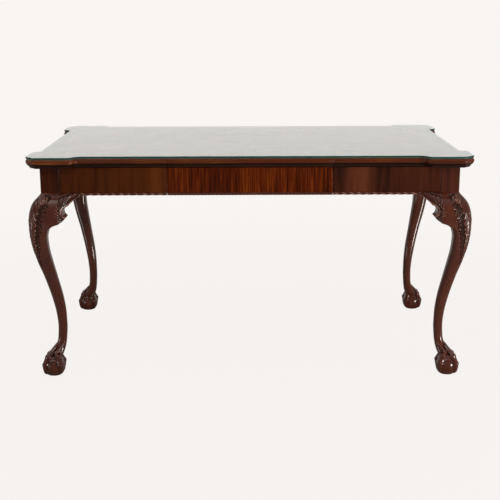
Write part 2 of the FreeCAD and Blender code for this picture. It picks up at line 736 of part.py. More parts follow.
BEAD_BOTTOM = FRIEZE_BOTTOM - dim("bead_height")
BRACKET_END = dim("bracket_length") + dim("bracket_end_gap")
bead_y = INNER_Y - BRACKET_END
left_bead = bead_strip("left_apron_bead", (-CASE_X - dim("bead_proud"), -bead_y, BEAD_BOTTOM),
                       bead_y * 2, along_x=False)
mirrored(left_bead, "right_apron_bead", LEFT_RIGHT)
bead_x = INNER_X - BRACKET_END
front_bead = bead_strip("back_bead_pattern", (-bead_x, -CASE_Y - dim("bead_proud"), BEAD_BOTTOM),
                        bead_x * 2)
nodes.remove(front_bead)
mirrored(front_bead, "back_apron_bead", FRONT_BACK)


def front_rail(label, bottom, top):
    """A rail lying flat behind the drawer fronts, tenoned into the front posts."""
    body = new_body(label, 0, RAIL_FRONT, bottom)
    sketch = new_sketch(body, f"{label}_outline")
    rectangle(sketch, -INNER_X, 0, INNER_X, dim("rail_depth"))
    pad(body, sketch, top - bottom)
    edge = dim("rail_tenon_shoulder")
    front = dim("rail_tenon_inset")
    back = RAIL_TENON_BACK - dim("front_thickness") - dim("rail_gap")
    add_tenons(body, label, "YZ_Plane", (front, edge, back, top - bottom - edge), INNER_X * 2)
    return node(body, label)


def add_holes(body, name, offset, centres, depth, reverse=False):
    """Clearance holes for the screws that hold the top."""
    sketch = new_sketch(body, name, offset=offset)
    radius = dim("screw_diameter") / 2 + dim("joint_clearance")
    for x, y in centres:
        circle = Part.Circle(Vector(x.value, y.value, 0), Vector(0, 0, 1), radius.value)
        edge = sketch.addGeometry(circle)
        set_radius(sketch, edge, radius)
        fix_point(sketch, edge, 3, x, y)
    pocket(body, sketch, depth, reverse=reverse)


RAIL_SCREW_Y = dim("rail_depth") / 2
RAIL_SCREW_X = [-dim("screw_spacing"), size(0), dim("screw_spacing")]
upper_rail = front_rail("front_upper_rail", *RAIL_LEVELS["upper"])
add_holes(upper_rail, "front_upper_rail_holes", dim("upper_rail_thickness"),
          [(x, RAIL_SCREW_Y) for x in RAIL_SCREW_X], dim("upper_rail_thickness"))
front_rail("front_lower_rail", *RAIL_LEVELS["lower"])


# ---------------------------------------------------------------- partitions, runners, blocks

run_back = BACK_APRON_FACE - RAIL_FRONT
left_partition = board("left_partition",
                       (-SEAM_X - dim("partition_thickness") / 2, RAIL_FRONT, RUNNER_TOP),
                       (dim("partition_thickness"), run_back, UPPER_RAIL_BOTTOM - RUNNER_TOP))
mirrored(left_partition, "right_partition", LEFT_RIGHT)
left_inner_runner = board("left_inner_runner",
                          (-SEAM_X - dim("partition_runner") / 2, RAIL_BACK, LOWER_RAIL_BOTTOM),
                          (dim("partition_runner"), BACK_APRON_FACE - RAIL_BACK,
                           dim("lower_rail_thickness")))
mirrored(left_inner_runner, "right_inner_runner", LEFT_RIGHT)

runner_width = dim("post_width") - thick + dim("partition_runner") / 2
left_outer_runner = board("left_outer_runner", (-CASE_X + thick, RAIL_BACK, LOWER_RAIL_BOTTOM),
                          (runner_width, INNER_Y - RAIL_BACK, dim("lower_rail_thickness")))
guide = new_sketch(left_outer_runner, "left_runner_guide", offset=dim("lower_rail_thickness"))
guide_edge = dim("post_width") - thick
rectangle(guide, guide_edge - dim("runner_guide"), 0, guide_edge, INNER_Y - RAIL_BACK)
pad(left_outer_runner, guide, dim("runner_guide_rise"))
mirrored(left_outer_runner, "right_outer_runner", LEFT_RIGHT)

left_block = new_body("left_back_block", -INNER_X, INNER_Y, TOP_UNDERSIDE - dim("block_height"))
plan = new_sketch(left_block, "left_back_block_plan")
reach = dim("post_width") - thick
arm = dim("block_leg")
dimensioned_profile(plan, [(-reach, -arm), (-reach, 0), (0, 0), (0, reach), (arm, reach)])
pad(left_block, plan, dim("block_height"))
BLOCK_SCREW = (dim("block_screw_inset"), -dim("block_screw_inset"))
add_holes(left_block, "left_back_block_hole", dim("block_height"), [BLOCK_SCREW],
          dim("block_height"))
node(left_block, "left_back_block")
mirrored(left_block, "right_back_block", LEFT_RIGHT)


# ---------------------------------------------------------------- top, mouldings and glass

TAN_EIGHTH = math.tan(math.pi / 8)


def quarter_outline(body, name, offset, inset):
    """One quarter of the shaped outline of the top, drawn in the +X +Y corner."""
    sketch = new_sketch(body, name, offset=offset)
    end_x = (TOP_X - inset).value
    end_y = (TOP_Y - inset).value
    step = dim("edge_step").value
    radius = dim("ogee_radius").value
    hollow = radius + size(inset).value
    swell = radius - size(inset).value
    soft = (dim("cant_round") - inset).value
    turn = math.acos(1 - step / (2 * radius))
    run = 2 * radius * math.sin(turn)
    step_x = (TOP_X - dim("front_run")).value
    step_y = (TOP_Y - dim("side_run")).value
    cant = (dim("corner_cant") + dim("cant_round") * TAN_EIGHTH).value
    start = TOP_Y.value - cant

    def quarter_arc(x, y, size_of_arc, first_angle, last_angle):
        circle = Part.Circle(Vector(x, y, 0), Vector(0, 0, 1), size_of_arc)
        return Part.ArcOfCircle(circle, first_angle, last_angle)

    half = math.pi / 2
    eighth = math.pi / 4
    arcs = {
        "hollow_x": quarter_arc(end_x - step + hollow, step_y - run, hollow,
                                math.pi - turn, math.pi),
        "swell_x": quarter_arc(end_x - swell, step_y, swell, -turn, 0),
        "soft_x": quarter_arc(end_x - soft, start, soft, 0, eighth),
        "soft_y": quarter_arc(TOP_X.value - cant, end_y - soft, soft, eighth, half),
        "swell_y": quarter_arc(step_x, end_y - swell, swell, half, half + turn),
        "hollow_y": quarter_arc(step_x - run, end_y - step + hollow, hollow,
                                -half, turn - half),
    }
    line = Part.LineSegment
    zero = Vector(0, 0, 0)
    on_x = Vector(end_x - step, 0, 0)
    on_y = Vector(0, end_y - step, 0)
    close_profile(sketch, [
        line(zero, on_x),
        line(on_x, arcs["hollow_x"].EndPoint),
        arcs["hollow_x"],
        arcs["swell_x"],
        line(arcs["swell_x"].EndPoint, arcs["soft_x"].StartPoint),
        arcs["soft_x"],
        line(arcs["soft_x"].EndPoint, arcs["soft_y"].StartPoint),
        arcs["soft_y"],
        line(arcs["soft_y"].EndPoint, arcs["swell_y"].StartPoint),
        arcs["swell_y"],
        arcs["hollow_y"],
        line(arcs["hollow_y"].StartPoint, on_y),
        line(on_y, zero),
    ], smooth=range(1, 11))
    for edge in (0, 8, 11):
        sketch.addConstraint(Sketcher.Constraint("Horizontal", edge))
    for edge in (1, 4, 12):
        sketch.addConstraint(Sketcher.Constraint("Vertical", edge))
    sketch.addConstraint(Sketcher.Constraint("Coincident", 0, 1, -1, 1))
    for edge, rounding in ((2, dim("ogee_radius") + inset), (3, dim("ogee_radius") - inset),
                           (5, dim("cant_round") - inset), (7, dim("cant_round") - inset),
                           (9, dim("ogee_radius") - inset), (10, dim("ogee_radius") + inset)):
        set_radius(sketch, edge, rounding)
    cant_start = TOP_Y - dim("corner_cant") - dim("cant_round") * TAN_EIGHTH
    for kind, edge, end, value in (
            ("DistanceX", 1, 1, TOP_X - inset - dim("edge_step")),
            ("DistanceX", 4, 1, TOP_X - inset),
            ("DistanceY", 4, 1, TOP_Y - dim("side_run")),
            ("DistanceY", 4, 2, cant_start),
            ("DistanceY", 8, 1, TOP_Y - inset),
            ("DistanceX", 8, 2, TOP_X - dim("front_run")),
            ("DistanceY", 11, 1, TOP_Y - inset - dim("edge_step"))):
        number = sketch.addConstraint(Sketcher.Constraint(kind, -1, 1, edge, end, value.value))
        bind(sketch, f"Constraints[{number}]", value)
    sketch.addConstraint(Sketcher.Constraint("Angle", 6, math.radians(135)))
    for edge, chords in ((2, OGEE_CHORDS), (3, OGEE_CHORDS), (5, CANT_CHORDS), (7, CANT_CHORDS),
                         (9, OGEE_CHORDS), (10, OGEE_CHORDS)):
        chord_arc(sketch, edge, chords)
    return sketch


def outer_edges(level):
    """Pick the edges at a level that lie on the shaped outline, not on the two cuts."""
    def chosen(edge):
        box = edge.BoundBox
        at_level = abs(box.ZMin - level.value) < 1e-4 and abs(box.ZMax - level.value) < 1e-4
        return at_level and box.XMax > 1e-4 and box.YMax > 1e-4
    return chosen


def whole(quarter, name):
    """Four quarters from one, as a single solid."""
    halves = []
    for source, axis, half_name in ((quarter, LEFT_RIGHT, f"{name}_half"),
                                    (None, FRONT_BACK, f"{name}_whole")):
        source = source or halves[-1]
        image = doc.addObject("Part::Mirroring", f"{half_name}_image")
        image.Source = source
        image.Normal = Vector(*axis)
        joined = doc.addObject("Part::MultiFuse", half_name)
        joined.Shapes = [source, image]
        joined.Refine = True
        halves.append(joined)
    return halves[-1]


glass = new_body("glass_quarter", 0, 0, WOOD_TOP + dim("bumper_thickness"))
sheet_outline = quarter_outline(glass, "glass_outline", 0, dim("glass_inset"))
glass_pad = pad(glass, sheet_outline, dim("glass_thickness"))
dress_edges(glass, glass_pad, dim("glass_arris"), outer_edges(dim("glass_thickness")), "Chamfer")
node(whole(glass, "glass"), "glass_top")

slab = new_body("moulding_quarter", 0, 0, TOP_UNDERSIDE)
lower = quarter_outline(slab, "lower_band", 0, dim("quirk"))
lower_height = dim("top_thickness") - dim("upper_band")
lower_pad = pad(slab, lower, lower_height)
dress_edges(slab, lower_pad, dim("lower_bevel"), outer_edges(size(0)), "Chamfer")
band = new_body("upper_band_quarter", 0, 0, TOP_UNDERSIDE + lower_height)
upper = quarter_outline(band, "upper_band", 0, size(0))
upper_pad = pad(band, upper, dim("upper_band"))
both = (outer_edges(size(0)), outer_edges(dim("upper_band")))
dress_edges(band, upper_pad, dim("upper_bevel"), lambda edge: any(pick(edge) for pick in both),
            "Chamfer")
quarter = doc.addObject("Part::MultiFuse", "top_quarter")
quarter.Shapes = [slab, band]
ring_source = whole(quarter, "moulded_top")


def block(name, x0, y0, x1, y1):
    """A box over the whole thickness of the top between two corners in plan."""
    box = doc.addObject("Part::Box", name)
    bind(box, "Length", x1 - x0)
    bind(box, "Width", y1 - y0)
    bind(box, "Height", dim("top_thickness"))
    bind(box, "Placement.Base.x", x0)
    bind(box, "Placement.Base.y", y0)
    bind(box, "Placement.Base.z", TOP_UNDERSIDE)
    return box


core_space = block("core_space", -CORE_X, -CORE_Y, CORE_X, CORE_Y)
ring = doc.addObject("Part::Cut", "moulding_ring")
ring.Base = ring_source
ring.Tool = core_space

half_centre = dim("centre_moulding") / 2
side_seam = TOP_Y - dim("side_run") - dim("ogee_radius") * 2


def moulding(label, corners):
    """The part of the moulding ring inside a block."""
    piece = doc.addObject("Part::Common", label)
    piece.Base = ring
    piece.Tool = block(f"{label}_block", *corners)
    return node(piece, label)


front_centre = moulding("front_centre_moulding", (-half_centre, -TOP_Y, half_centre, size(0)))
mirrored(front_centre, "back_centre_moulding", FRONT_BACK)
left_side = moulding("left_moulding", (-TOP_X, -side_seam, size(0), side_seam))
mirrored(left_side, "right_moulding", LEFT_RIGHT)
front_left = moulding("front_left_moulding", (-TOP_X, -TOP_Y, -half_centre, -side_seam))
mirrored(front_left, "front_right_moulding", LEFT_RIGHT)
back_left = mirrored(front_left, "back_left_moulding", FRONT_BACK)
mirrored(back_left, "back_right_moulding", LEFT_RIGHT)

core = new_body("top_panel", 0, 0, TOP_UNDERSIDE)
outline = new_sketch(core, "top_panel_outline")
rectangle(outline, -CORE_X, -CORE_Y, CORE_X, CORE_Y)
pad(core, outline, dim("top_thickness"))
rail_holes = [(x, RAIL_FRONT + RAIL_SCREW_Y) for x in RAIL_SCREW_X]
block_x = -INNER_X + BLOCK_SCREW[0]
block_y = INNER_Y + BLOCK_SCREW[1]
block_holes = [(block_x, block_y), (-block_x, block_y)]
spare = dim("pilot_spare")
add_holes(core, "rail_pilots", 0, rail_holes,
          dim("screw_length") - dim("upper_rail_thickness") + spare, reverse=True)
add_holes(core, "block_pilots", 0, block_holes,
          dim("screw_length") - dim("block_height") + spare, reverse=True)
node(core, "top_panel")


def round_bar(name, radius, height, x, y, z):
    """An upright bar with a few flat sides, standing in for a small round one."""
    made = doc.addObject("Part::Prism", name)
    made.Polygon = ROUND_SIDES
    bind(made, "Circumradius", radius)
    bind(made, "Height", height)
    for axis, value in zip("xyz", (x, y, z)):
        bind(made, f"Placement.Base.{axis}", value)
    return made


def group(label, members):
    """Several separate solids of one kind as one sub-part."""
    made = doc.addObject("Part::Compound", label)
    made.Links = members
    return node(made, label)


screws = []
places = [(x, y, UPPER_RAIL_BOTTOM) for x, y in rail_holes]
places += [(x, y, TOP_UNDERSIDE - dim("block_height")) for x, y in block_holes]
for number, (x, y, z) in enumerate(places):
    shank = round_bar(f"shank_{number}", dim("screw_diameter") / 2, dim("screw_length"), x, y, z)
    head = round_bar(f"head_{number}", dim("screw_head") / 2, dim("screw_head_height"), x, y,
                    z - dim("screw_head_height"))
    screw = doc.addObject("Part::MultiFuse", f"screw_{number}")
    screw.Shapes = [shank, head]
    screws.append(screw)
group("top_screws", screws)

bumper_x = CORE_X - dim("bumper_inset")
bumper_y = CORE_Y - dim("bumper_inset")
group("glass_bumpers", [
    round_bar(f"bumper_{column}_{row}", dim("bumper_diameter") / 2, dim("bumper_thickness"),
             bumper_x * column, bumper_y * row, WOOD_TOP)
    for column in (-1, 1) for row in (-1, 1)])


# ---------------------------------------------------------------- drawers

def drawer(name, left, right, box_left, box_right, bead_left, bead_right):
    """Front, bead strip, sides, back and bottom of one drawer between its left and right edges."""
    front_face = -CASE_Y
    behind = front_face + dim("front_thickness")
    side_bottom = RUNNER_TOP + dim("runner_play")
    groove = dim("bottom_groove")
    play = dim("joint_clearance")
    side = dim("side_thickness")
    panel = dim("bottom_thickness")
    rise = dim("bottom_rise")

    front = new_body(f"{name}_front", left, front_face, FRONT_BOTTOM)
    sketch = new_sketch(front, f"{name}_front_outline")
    rectangle(sketch, 0, 0, right - left, dim("front_thickness"))
    base = pad(front, sketch, FRONT_HEIGHT)

    def on_face(edge):
        return edge.BoundBox.YMax < 1e-6

    dress_edges(front, base, dim("front_arris"), on_face)
    slot_bottom = side_bottom + rise - FRONT_BOTTOM
    slot = new_sketch(front, f"{name}_front_groove", "XZ_Plane", -dim("front_thickness"))
    rectangle(slot, box_left + side - groove - left, slot_bottom,
              box_right - side + groove - left, slot_bottom + panel + play)
    pocket(front, slot, groove, reverse=True)
    node(front, f"{name}_front")

    bead_strip(f"{name}_bead", (bead_left, front_face - dim("bead_proud"),
                                FRONT_BOTTOM - dim("bead_height")), bead_right - bead_left)

    for hand, x, slot_x in (("left", box_left, side - groove), ("right", box_right - side, 0)):
        label = f"{name}_{hand}_side"
        wall = new_body(label, x, behind, side_bottom)
        sketch = new_sketch(wall, f"{label}_outline")
        rectangle(sketch, 0, 0, side, dim("drawer_length"))
        pad(wall, sketch, dim("drawer_height"))
        slot = new_sketch(wall, f"{label}_groove", "XZ_Plane", -dim("drawer_length"))
        rectangle(slot, slot_x, rise, slot_x + groove, rise + panel + play)
        pocket(wall, slot, dim("drawer_length"), reverse=True)
        node(wall, label)

    inside = box_right - box_left - side * 2
    board(f"{name}_back",
          (box_left + side, behind + dim("drawer_length") - dim("back_thickness"),
           side_bottom + rise + panel),
          (inside, dim("back_thickness"), dim("drawer_height") - rise - panel))
    board(f"{name}_bottom",
          (box_left + side - groove + play, behind - groove + play, side_bottom + rise),
          (inside + (groove - play) * 2, dim("drawer_length") + groove - play, panel))


wall = dim("partition_thickness") / 2
play = dim("drawer_play")
half_front = dim("centre_front") / 2
seam = dim("front_seam")
left_end = -INNER_X + dim("post_seam")
drawer("left_drawer", left_end, -half_front - seam, -INNER_X + play, -SEAM_X - wall - play,
       -INNER_X + BRACKET_END, -half_front - seam)
drawer("centre_drawer", -half_front, half_front, -SEAM_X + wall + play, SEAM_X - wall - play,
       -half_front, half_front)
drawer("right_drawer", half_front + seam, -left_end, SEAM_X + wall + play, INNER_X - play,
       half_front + seam, INNER_X - BRACKET_END)


# ---------------------------------------------------------------- check and export

doc.recompute()
for obj in doc.Objects:
    if "Invalid" in obj.State or "Error" in obj.State:
        raise RuntimeError(f"{obj.Label} failed: {obj.State}")
os.makedirs("parts", exist_ok=True)
for obj in nodes:
    if obj.Shape.isNull() or not obj.Shape.isValid():
        raise RuntimeError(f"{obj.Label} has no valid shape")
for obj in nodes:
    obj.Shape.exportStep(f"parts/{obj.Label}.step")
    print(f"{obj.Label:28s} solids {len(obj.Shape.Solids)}  volume {obj.Shape.Volume / 1000:9.1f} cm3")
print(f"{len(nodes)} sub-parts")
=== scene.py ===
"""Looks of the writing desk: carved mahogany legs and brackets, gadrooned beads, a moulded top
under a glass sheet, and the finish of every other piece. Shapes are worked out in millimetres
and put into their meshes in metres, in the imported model's frame."""
import math

import bpy
import numpy as np
from mathutils import Euler, Matrix, Vector


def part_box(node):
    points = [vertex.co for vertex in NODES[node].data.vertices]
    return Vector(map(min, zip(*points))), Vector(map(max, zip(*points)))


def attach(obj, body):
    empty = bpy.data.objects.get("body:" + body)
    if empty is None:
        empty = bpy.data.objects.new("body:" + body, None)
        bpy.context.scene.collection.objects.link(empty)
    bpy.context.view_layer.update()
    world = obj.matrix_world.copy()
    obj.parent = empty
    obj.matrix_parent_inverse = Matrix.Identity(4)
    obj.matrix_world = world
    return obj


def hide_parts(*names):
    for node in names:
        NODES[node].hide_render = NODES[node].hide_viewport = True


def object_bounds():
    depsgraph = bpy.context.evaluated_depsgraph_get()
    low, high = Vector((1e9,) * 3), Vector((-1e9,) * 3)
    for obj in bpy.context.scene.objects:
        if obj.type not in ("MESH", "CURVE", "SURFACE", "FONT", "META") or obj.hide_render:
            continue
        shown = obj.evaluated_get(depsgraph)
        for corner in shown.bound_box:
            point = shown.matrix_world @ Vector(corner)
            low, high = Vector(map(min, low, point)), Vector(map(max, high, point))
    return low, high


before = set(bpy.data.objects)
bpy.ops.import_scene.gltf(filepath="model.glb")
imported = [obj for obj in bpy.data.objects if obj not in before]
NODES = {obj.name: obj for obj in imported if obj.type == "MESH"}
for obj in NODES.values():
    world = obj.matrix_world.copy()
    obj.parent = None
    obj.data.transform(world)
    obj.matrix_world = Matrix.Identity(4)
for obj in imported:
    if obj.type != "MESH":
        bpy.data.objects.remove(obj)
CAD_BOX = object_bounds()

MM = 1000

# Levels and faces of the case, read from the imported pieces, and the width of a corner post.
CASE_X = -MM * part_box("left_apron")[0].x
CASE_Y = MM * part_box("back_apron")[1].y
POST_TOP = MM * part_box("front_left_leg")[1].z
FRIEZE_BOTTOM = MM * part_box("left_apron")[0].z
POST = 63.5

# Which way each corner of the desk lies from its middle, in x and y.
CORNERS = {
    "front_left": (-1, -1),
    "front_right": (1, -1),
    "back_left": (-1, 1),
    "back_right": (1, 1),
}


# ---------------------------------------------------------------- curves and meshes

def through(at, knots, values):
    """A smooth curve through the knots that never overshoots: a cubic on each span, whose slope
    at a knot is the harmonic mean of the two spans' slopes, or zero where they turn."""
    knots, values = np.asarray(knots, float), np.asarray(values, float)
    if knots[0] > knots[-1]:
        knots, values = knots[::-1], values[::-1]
    rise = np.diff(values) / np.diff(knots)
    left, right = rise[:-1], rise[1:]
    same = left * right > 0
    middle = np.where(same, 2 * left * right / np.where(same, left + right, 1), 0)
    slope = np.concatenate([rise[:1], middle, rise[-1:]])
    at = np.clip(at, knots[0], knots[-1])
    below = np.clip(np.searchsorted(knots, at, side="right") - 1, 0, len(knots) - 2)
    width = knots[below + 1] - knots[below]
    t = (at - knots[below]) / width
    return ((1 + 2 * t) * (1 - t) ** 2 * values[below] + t * (1 - t) ** 2 * width * slope[below]
            + t * t * (3 - 2 * t) * values[below + 1]
            - t * t * (1 - t) * width * slope[below + 1])


def ramp(value, low, high):
    """Zero below low, one above high, and between them the S of three squares less two cubes."""
    t = np.clip((value - low) / (high - low), 0, 1)
    return t * t * (3 - 2 * t)


def blend(first, second, width):
    """The lesser of two fields. Where they differ by less than the width, it is lowered by a
    quarter of the width times the square of how near they are, which rounds the crease."""
    near = np.maximum(width - np.abs(first - second), 0) / width
    return np.minimum(first, second) - near * near * width / 4


def unit(vectors):
    """Vectors divided by their own length, or by a hair where they have none."""
    shortest = 1e-9
    return vectors / np.maximum(np.linalg.norm(vectors, axis=-1, keepdims=True), shortest)


def normals(points):
    """Unit normals of a grid of rings: the cross product of its differences along both ways."""
    around = np.roll(points, -1, 1) - np.roll(points, 1, 1)
    return unit(np.cross(np.gradient(points, axis=0), around))


def grid_faces(rows, columns):
    """Quads between neighbouring rings; the last column joins the first."""
    row = np.arange(rows - 1)[:, None] * columns
    column = np.arange(columns)[None, :]
    after = (column + 1) % columns
    quads = [row + column, row + after, row + after + columns, row + column + columns]
    return np.stack(np.broadcast_arrays(*quads), -1).reshape(-1, 4)


def volume(points, quads, caps):
    """Signed volume of a closed shell: a sixth of the sum, over the triangles of its faces, of
    the triple product of their corners."""
    total = 0.0
    for a, b, c in ((0, 1, 2), (0, 2, 3)):
        corners = [points[quads[:, k]] for k in (a, b, c)]
        total += np.einsum("ij,ij->", corners[0], np.cross(corners[1], corners[2]))
    for cap in caps:
        ring = points[cap]
        total += np.einsum("ij,ij->", np.broadcast_to(ring[0], ring[1:-1].shape),
                           np.cross(ring[1:-1], ring[2:]))
    return total / 6


def add_piece(name, rings, body, nodes, materials, values=None, face_slots=None, sharp=42):
    """A closed shell over a grid of rings in millimetres, its first and last ring capped, turned
    to face outwards, and put in the place of the named nodes. Values are numbers kept at each
    point; face slots give each row of faces its material; arrises over sharp degrees stay
    crisp."""
    rows, columns = rings.shape[:2]
    points = rings.reshape(-1, 3)
    quads = grid_faces(rows, columns)
    caps = [np.arange(columns)[::-1], np.arange(columns) + (rows - 1) * columns]
    if volume(points, quads, caps) < 0:
        quads = quads[:, ::-1]
        caps = [cap[::-1] for cap in caps]
    mesh = bpy.data.meshes.new(name)
    mesh.from_pydata((points / MM).tolist(), [], quads.tolist() + [c.tolist() for c in caps])
    mesh.shade_smooth()
    mesh.set_sharp_from_angle(angle=math.radians(sharp))
    for field, numbers in (values or {}).items():
        layer = mesh.attributes.new(field, "FLOAT", "POINT")
        layer.data.foreach_set("value", np.ravel(numbers).astype(np.float32))
    for material in materials:
        mesh.materials.append(material)
    if face_slots is not None:
        index = np.concatenate([np.repeat(face_slots[1:-1], columns), face_slots[[0, -1]]])
        mesh.polygons.foreach_set("material_index", index.astype(np.int32))
    piece = bpy.data.objects.new(name, mesh)
    bpy.context.scene.collection.objects.link(piece)
    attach(piece, body)
    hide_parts(*nodes)


def placed(along, out, height, corner, swap=False):
    """From a corner's own distances, inward from the post's two outer faces, to the shared
    frame. Swapped, what lies along the front lies along the side."""
    side_x, side_y = CORNERS[corner]
    if swap:
        along, out = out, along
    return np.stack([side_x * (CASE_X - along), side_y * (CASE_Y - out),
                     np.broadcast_to(height, np.shape(along))], -1)


# ---------------------------------------------------------------- materials

def links(tree, node, inputs):
    """Feed a node's sockets: a socket is linked, and anything else is the socket's own value."""
    for key, value in inputs.items():
        socket = node.inputs[key]
        if isinstance(value, bpy.types.NodeSocket):
            tree.links.new(value, socket)
        else:
            socket.default_value = value


def add_node(tree, kind, inputs=None, **settings):
    """A new node with its settings and what feeds it."""
    node = tree.nodes.new(kind)
    for key, value in settings.items():
        setattr(node, key, value)
    links(tree, node, inputs or {})
    return node


def maths(tree, operation, first, second=0.0, clamp=False):
    """One sum of two numbers, kept from 0 to 1 where it is clamped."""
    node = add_node(tree, "ShaderNodeMath", {0: first, 1: second}, operation=operation)
    node.use_clamp = clamp
    return node.outputs[0]


def span(tree, value, low, high, to_low=0.0, to_high=1.0):
    """Map a value from one range to another, smoothly and without overshoot."""
    node = add_node(tree, "ShaderNodeMapRange", {"Value": value, "From Min": low, "From Max": high,
                                                 "To Min": to_low, "To Max": to_high},
                    interpolation_type="SMOOTHSTEP")
    return node.outputs["Result"]


def mix(tree, share, first, second):
    """From the first colour to the second, as the share goes from 0 to 1."""
    share_socket, first_socket, second_socket, colour_output = 0, 6, 7, 2
    node = add_node(tree, "ShaderNodeMix", data_type="RGBA")
    links(tree, node, {share_socket: share, first_socket: first, second_socket: second})
    return node.outputs[colour_output]


def noise(tree, vector, scale, detail, roughness, distortion=0.0):
    """Smooth noise from 0 to 1, mostly near a half."""
    node = add_node(tree, "ShaderNodeTexNoise", {"Vector": vector, "Scale": scale,
                                                 "Detail": detail, "Roughness": roughness,
                                                 "Distortion": distortion})
    return node.outputs["Fac"]


def stretched(tree, vector, scale):
    """A place multiplied by a scale for each axis: a small one draws the pattern out."""
    node = add_node(tree, "ShaderNodeVectorMath", {0: vector, 1: scale}, operation="MULTIPLY")
    return node.outputs[0]


def new_group(name, inputs, outputs):
    """An empty node group with its sockets, its input node and its output node."""
    tree = bpy.data.node_groups.new(name, "ShaderNodeTree")
    for way, sockets in (("INPUT", inputs), ("OUTPUT", outputs)):
        for label, kind, *default in sockets:
            socket = tree.interface.new_socket(label, in_out=way, socket_type=f"NodeSocket{kind}")
            if default:
                socket.default_value = default[0]
    return tree, tree.nodes.new("NodeGroupInput").outputs, tree.nodes.new("NodeGroupOutput")


def grain_group():
    """Mahogany grain along Z. The tone is a half, plus broad bands, narrow ribbon stripes and
    short flecks, each as noise less a half times its strength. It picks a colour from dark by
    mid to light, and open pores darken it in fine strokes."""
    tree, given, result = new_group("mahogany_grain", [
        ("Vector", "Vector"), ("Dark", "Color"), ("Mid", "Color"), ("Light", "Color"),
        ("Bands", "Float", 0.5), ("Ribbons", "Float", 0.5), ("Ribbon Scale", "Float", 60.0)],
        [("Color", "Color"), ("Pores", "Float")])
    band_scale, ribbon_scale = (9, 9, 1.1), (1, 1, 0.035)
    fleck_scale, pore_scale = (420, 420, 22), (1500, 1500, 45)
    fleck_strength, pore_darkness = 0.35, 0.45
    darkest, middle, lightest = 0.12, 0.5, 0.88
    pore_start, pore_full = 0.60, 0.70

    place = given["Vector"]
    broad = noise(tree, stretched(tree, place, band_scale), 1.0, 3, 0.6, 0.4)
    drawn_out = stretched(tree, place, ribbon_scale)
    scaled = add_node(tree, "ShaderNodeVectorMath", {0: drawn_out, "Scale": given["Ribbon Scale"]},
                      operation="SCALE").outputs[0]
    ribbon = noise(tree, scaled, 1.0, 4, 0.62, 0.3)
    fleck = noise(tree, stretched(tree, place, fleck_scale), 1.0, 2, 0.5)
    tone = 0.5
    for figure, strength in ((broad, given["Bands"]), (ribbon, given["Ribbons"]),
                             (fleck, fleck_strength)):
        drift = maths(tree, "MULTIPLY", maths(tree, "SUBTRACT", figure, 0.5), strength)
        tone = maths(tree, "ADD", tone, drift)
    low = mix(tree, span(tree, tone, darkest, middle), given["Dark"], given["Mid"])
    colour = mix(tree, span(tree, tone, middle, lightest), low, given["Light"])
    pores = noise(tree, stretched(tree, place, pore_scale), 1.0, 2, 0.6)
    pit = span(tree, pores, pore_start, pore_full)
    colour = mix(tree, maths(tree, "MULTIPLY", pit, pore_darkness), colour, given["Dark"])
    links(tree, result, {"Color": colour, "Pores": pit})
    return tree


def wear_and_painted_light_group():
    """Old polish with painted light. Where an arris or the relief stands high, a pale colour shows
    in patches: painted highlight, which also stands for wear. Where it lies low, a duller and
    darker colour is painted: painted shade, which also stands for dirt, and the polish over it
    is gone. The roughness drifts with a slow cloud."""
    tree, given, result = new_group("old_polish_with_painted_light", [
        ("Color", "Color"), ("Worn", "Color"), ("Grime", "Color"), ("Vector", "Vector"),
        ("Rubbing", "Float", 0.5), ("Settled", "Float", 0.6), ("Relief", "Float", 0.0),
        ("Coat", "Float", 0.1)],
        [("Color", "Color"), ("Roughness", "Float"), ("Polish", "Float")])
    arris, hollow = (0.535, 0.63), (0.49, 0.42)
    high_relief, low_relief = (0.72, 1.1), (0, -1)
    patch_scale, cloud_scale = 38.0, 6.0
    polished, faded, dull = 0.20, 0.30, 0.25
    polish_lost = 0.9

    edge = add_node(tree, "ShaderNodeNewGeometry").outputs["Pointiness"]
    patch = noise(tree, given["Vector"], patch_scale, 4, 0.6)
    # Painted highlight: a pale colour on the arrises and the high relief, in patches, also
    # standing for wear.
    high = maths(tree, "ADD", span(tree, edge, *arris), span(tree, given["Relief"], *high_relief))
    rubbed_highlight = maths(tree, "MULTIPLY", maths(tree, "MULTIPLY", high, given["Rubbing"]),
                   span(tree, patch, 0.32, 0.62), clamp=True)
    # Painted shade: a duller, darker colour in the hollows and the low relief, also standing for
    # dirt.
    low = maths(tree, "ADD", span(tree, edge, *hollow), span(tree, given["Relief"], *low_relief))
    settled_shade = maths(tree, "MULTIPLY", low, given["Settled"], clamp=True)
    colour = mix(tree, settled_shade, given["Color"], given["Grime"])
    colour = mix(tree, rubbed_highlight, colour, given["Worn"])
    cloud = noise(tree, given["Vector"], cloud_scale, 3, 0.5)
    rough = maths(tree, "ADD", span(tree, cloud, 0.3, 0.7, polished, faded),
                  maths(tree, "MULTIPLY", settled_shade, dull))
    left = maths(tree, "SUBTRACT", 1.0, maths(tree, "MULTIPLY", settled_shade, polish_lost))
    links(tree, result, {"Color": colour, "Roughness": rough,
                         "Polish": maths(tree, "MULTIPLY", left, given["Coat"])})
    return tree


GRAIN = grain_group()
POLISH = wear_and_painted_light_group()
QUARTER_TURN = math.pi / 2
TURN = {"z": (0, 0, 0), "x": (0, QUARTER_TURN, 0), "y": (QUARTER_TURN, 0, 0)}
# The pale colour of painted highlight on arrises and crests, also standing for wear, and the dark
# colour of painted shade in hollows, also standing for dirt.
RUBBED_HIGHLIGHT = (0.24, 0.11, 0.075)
SHADE_GRIME = (0.010, 0.005, 0.004)
PORE_BUMP, PORE_DEPTH = 0.05, 0.0004
BARE_SPECULAR = 0.05


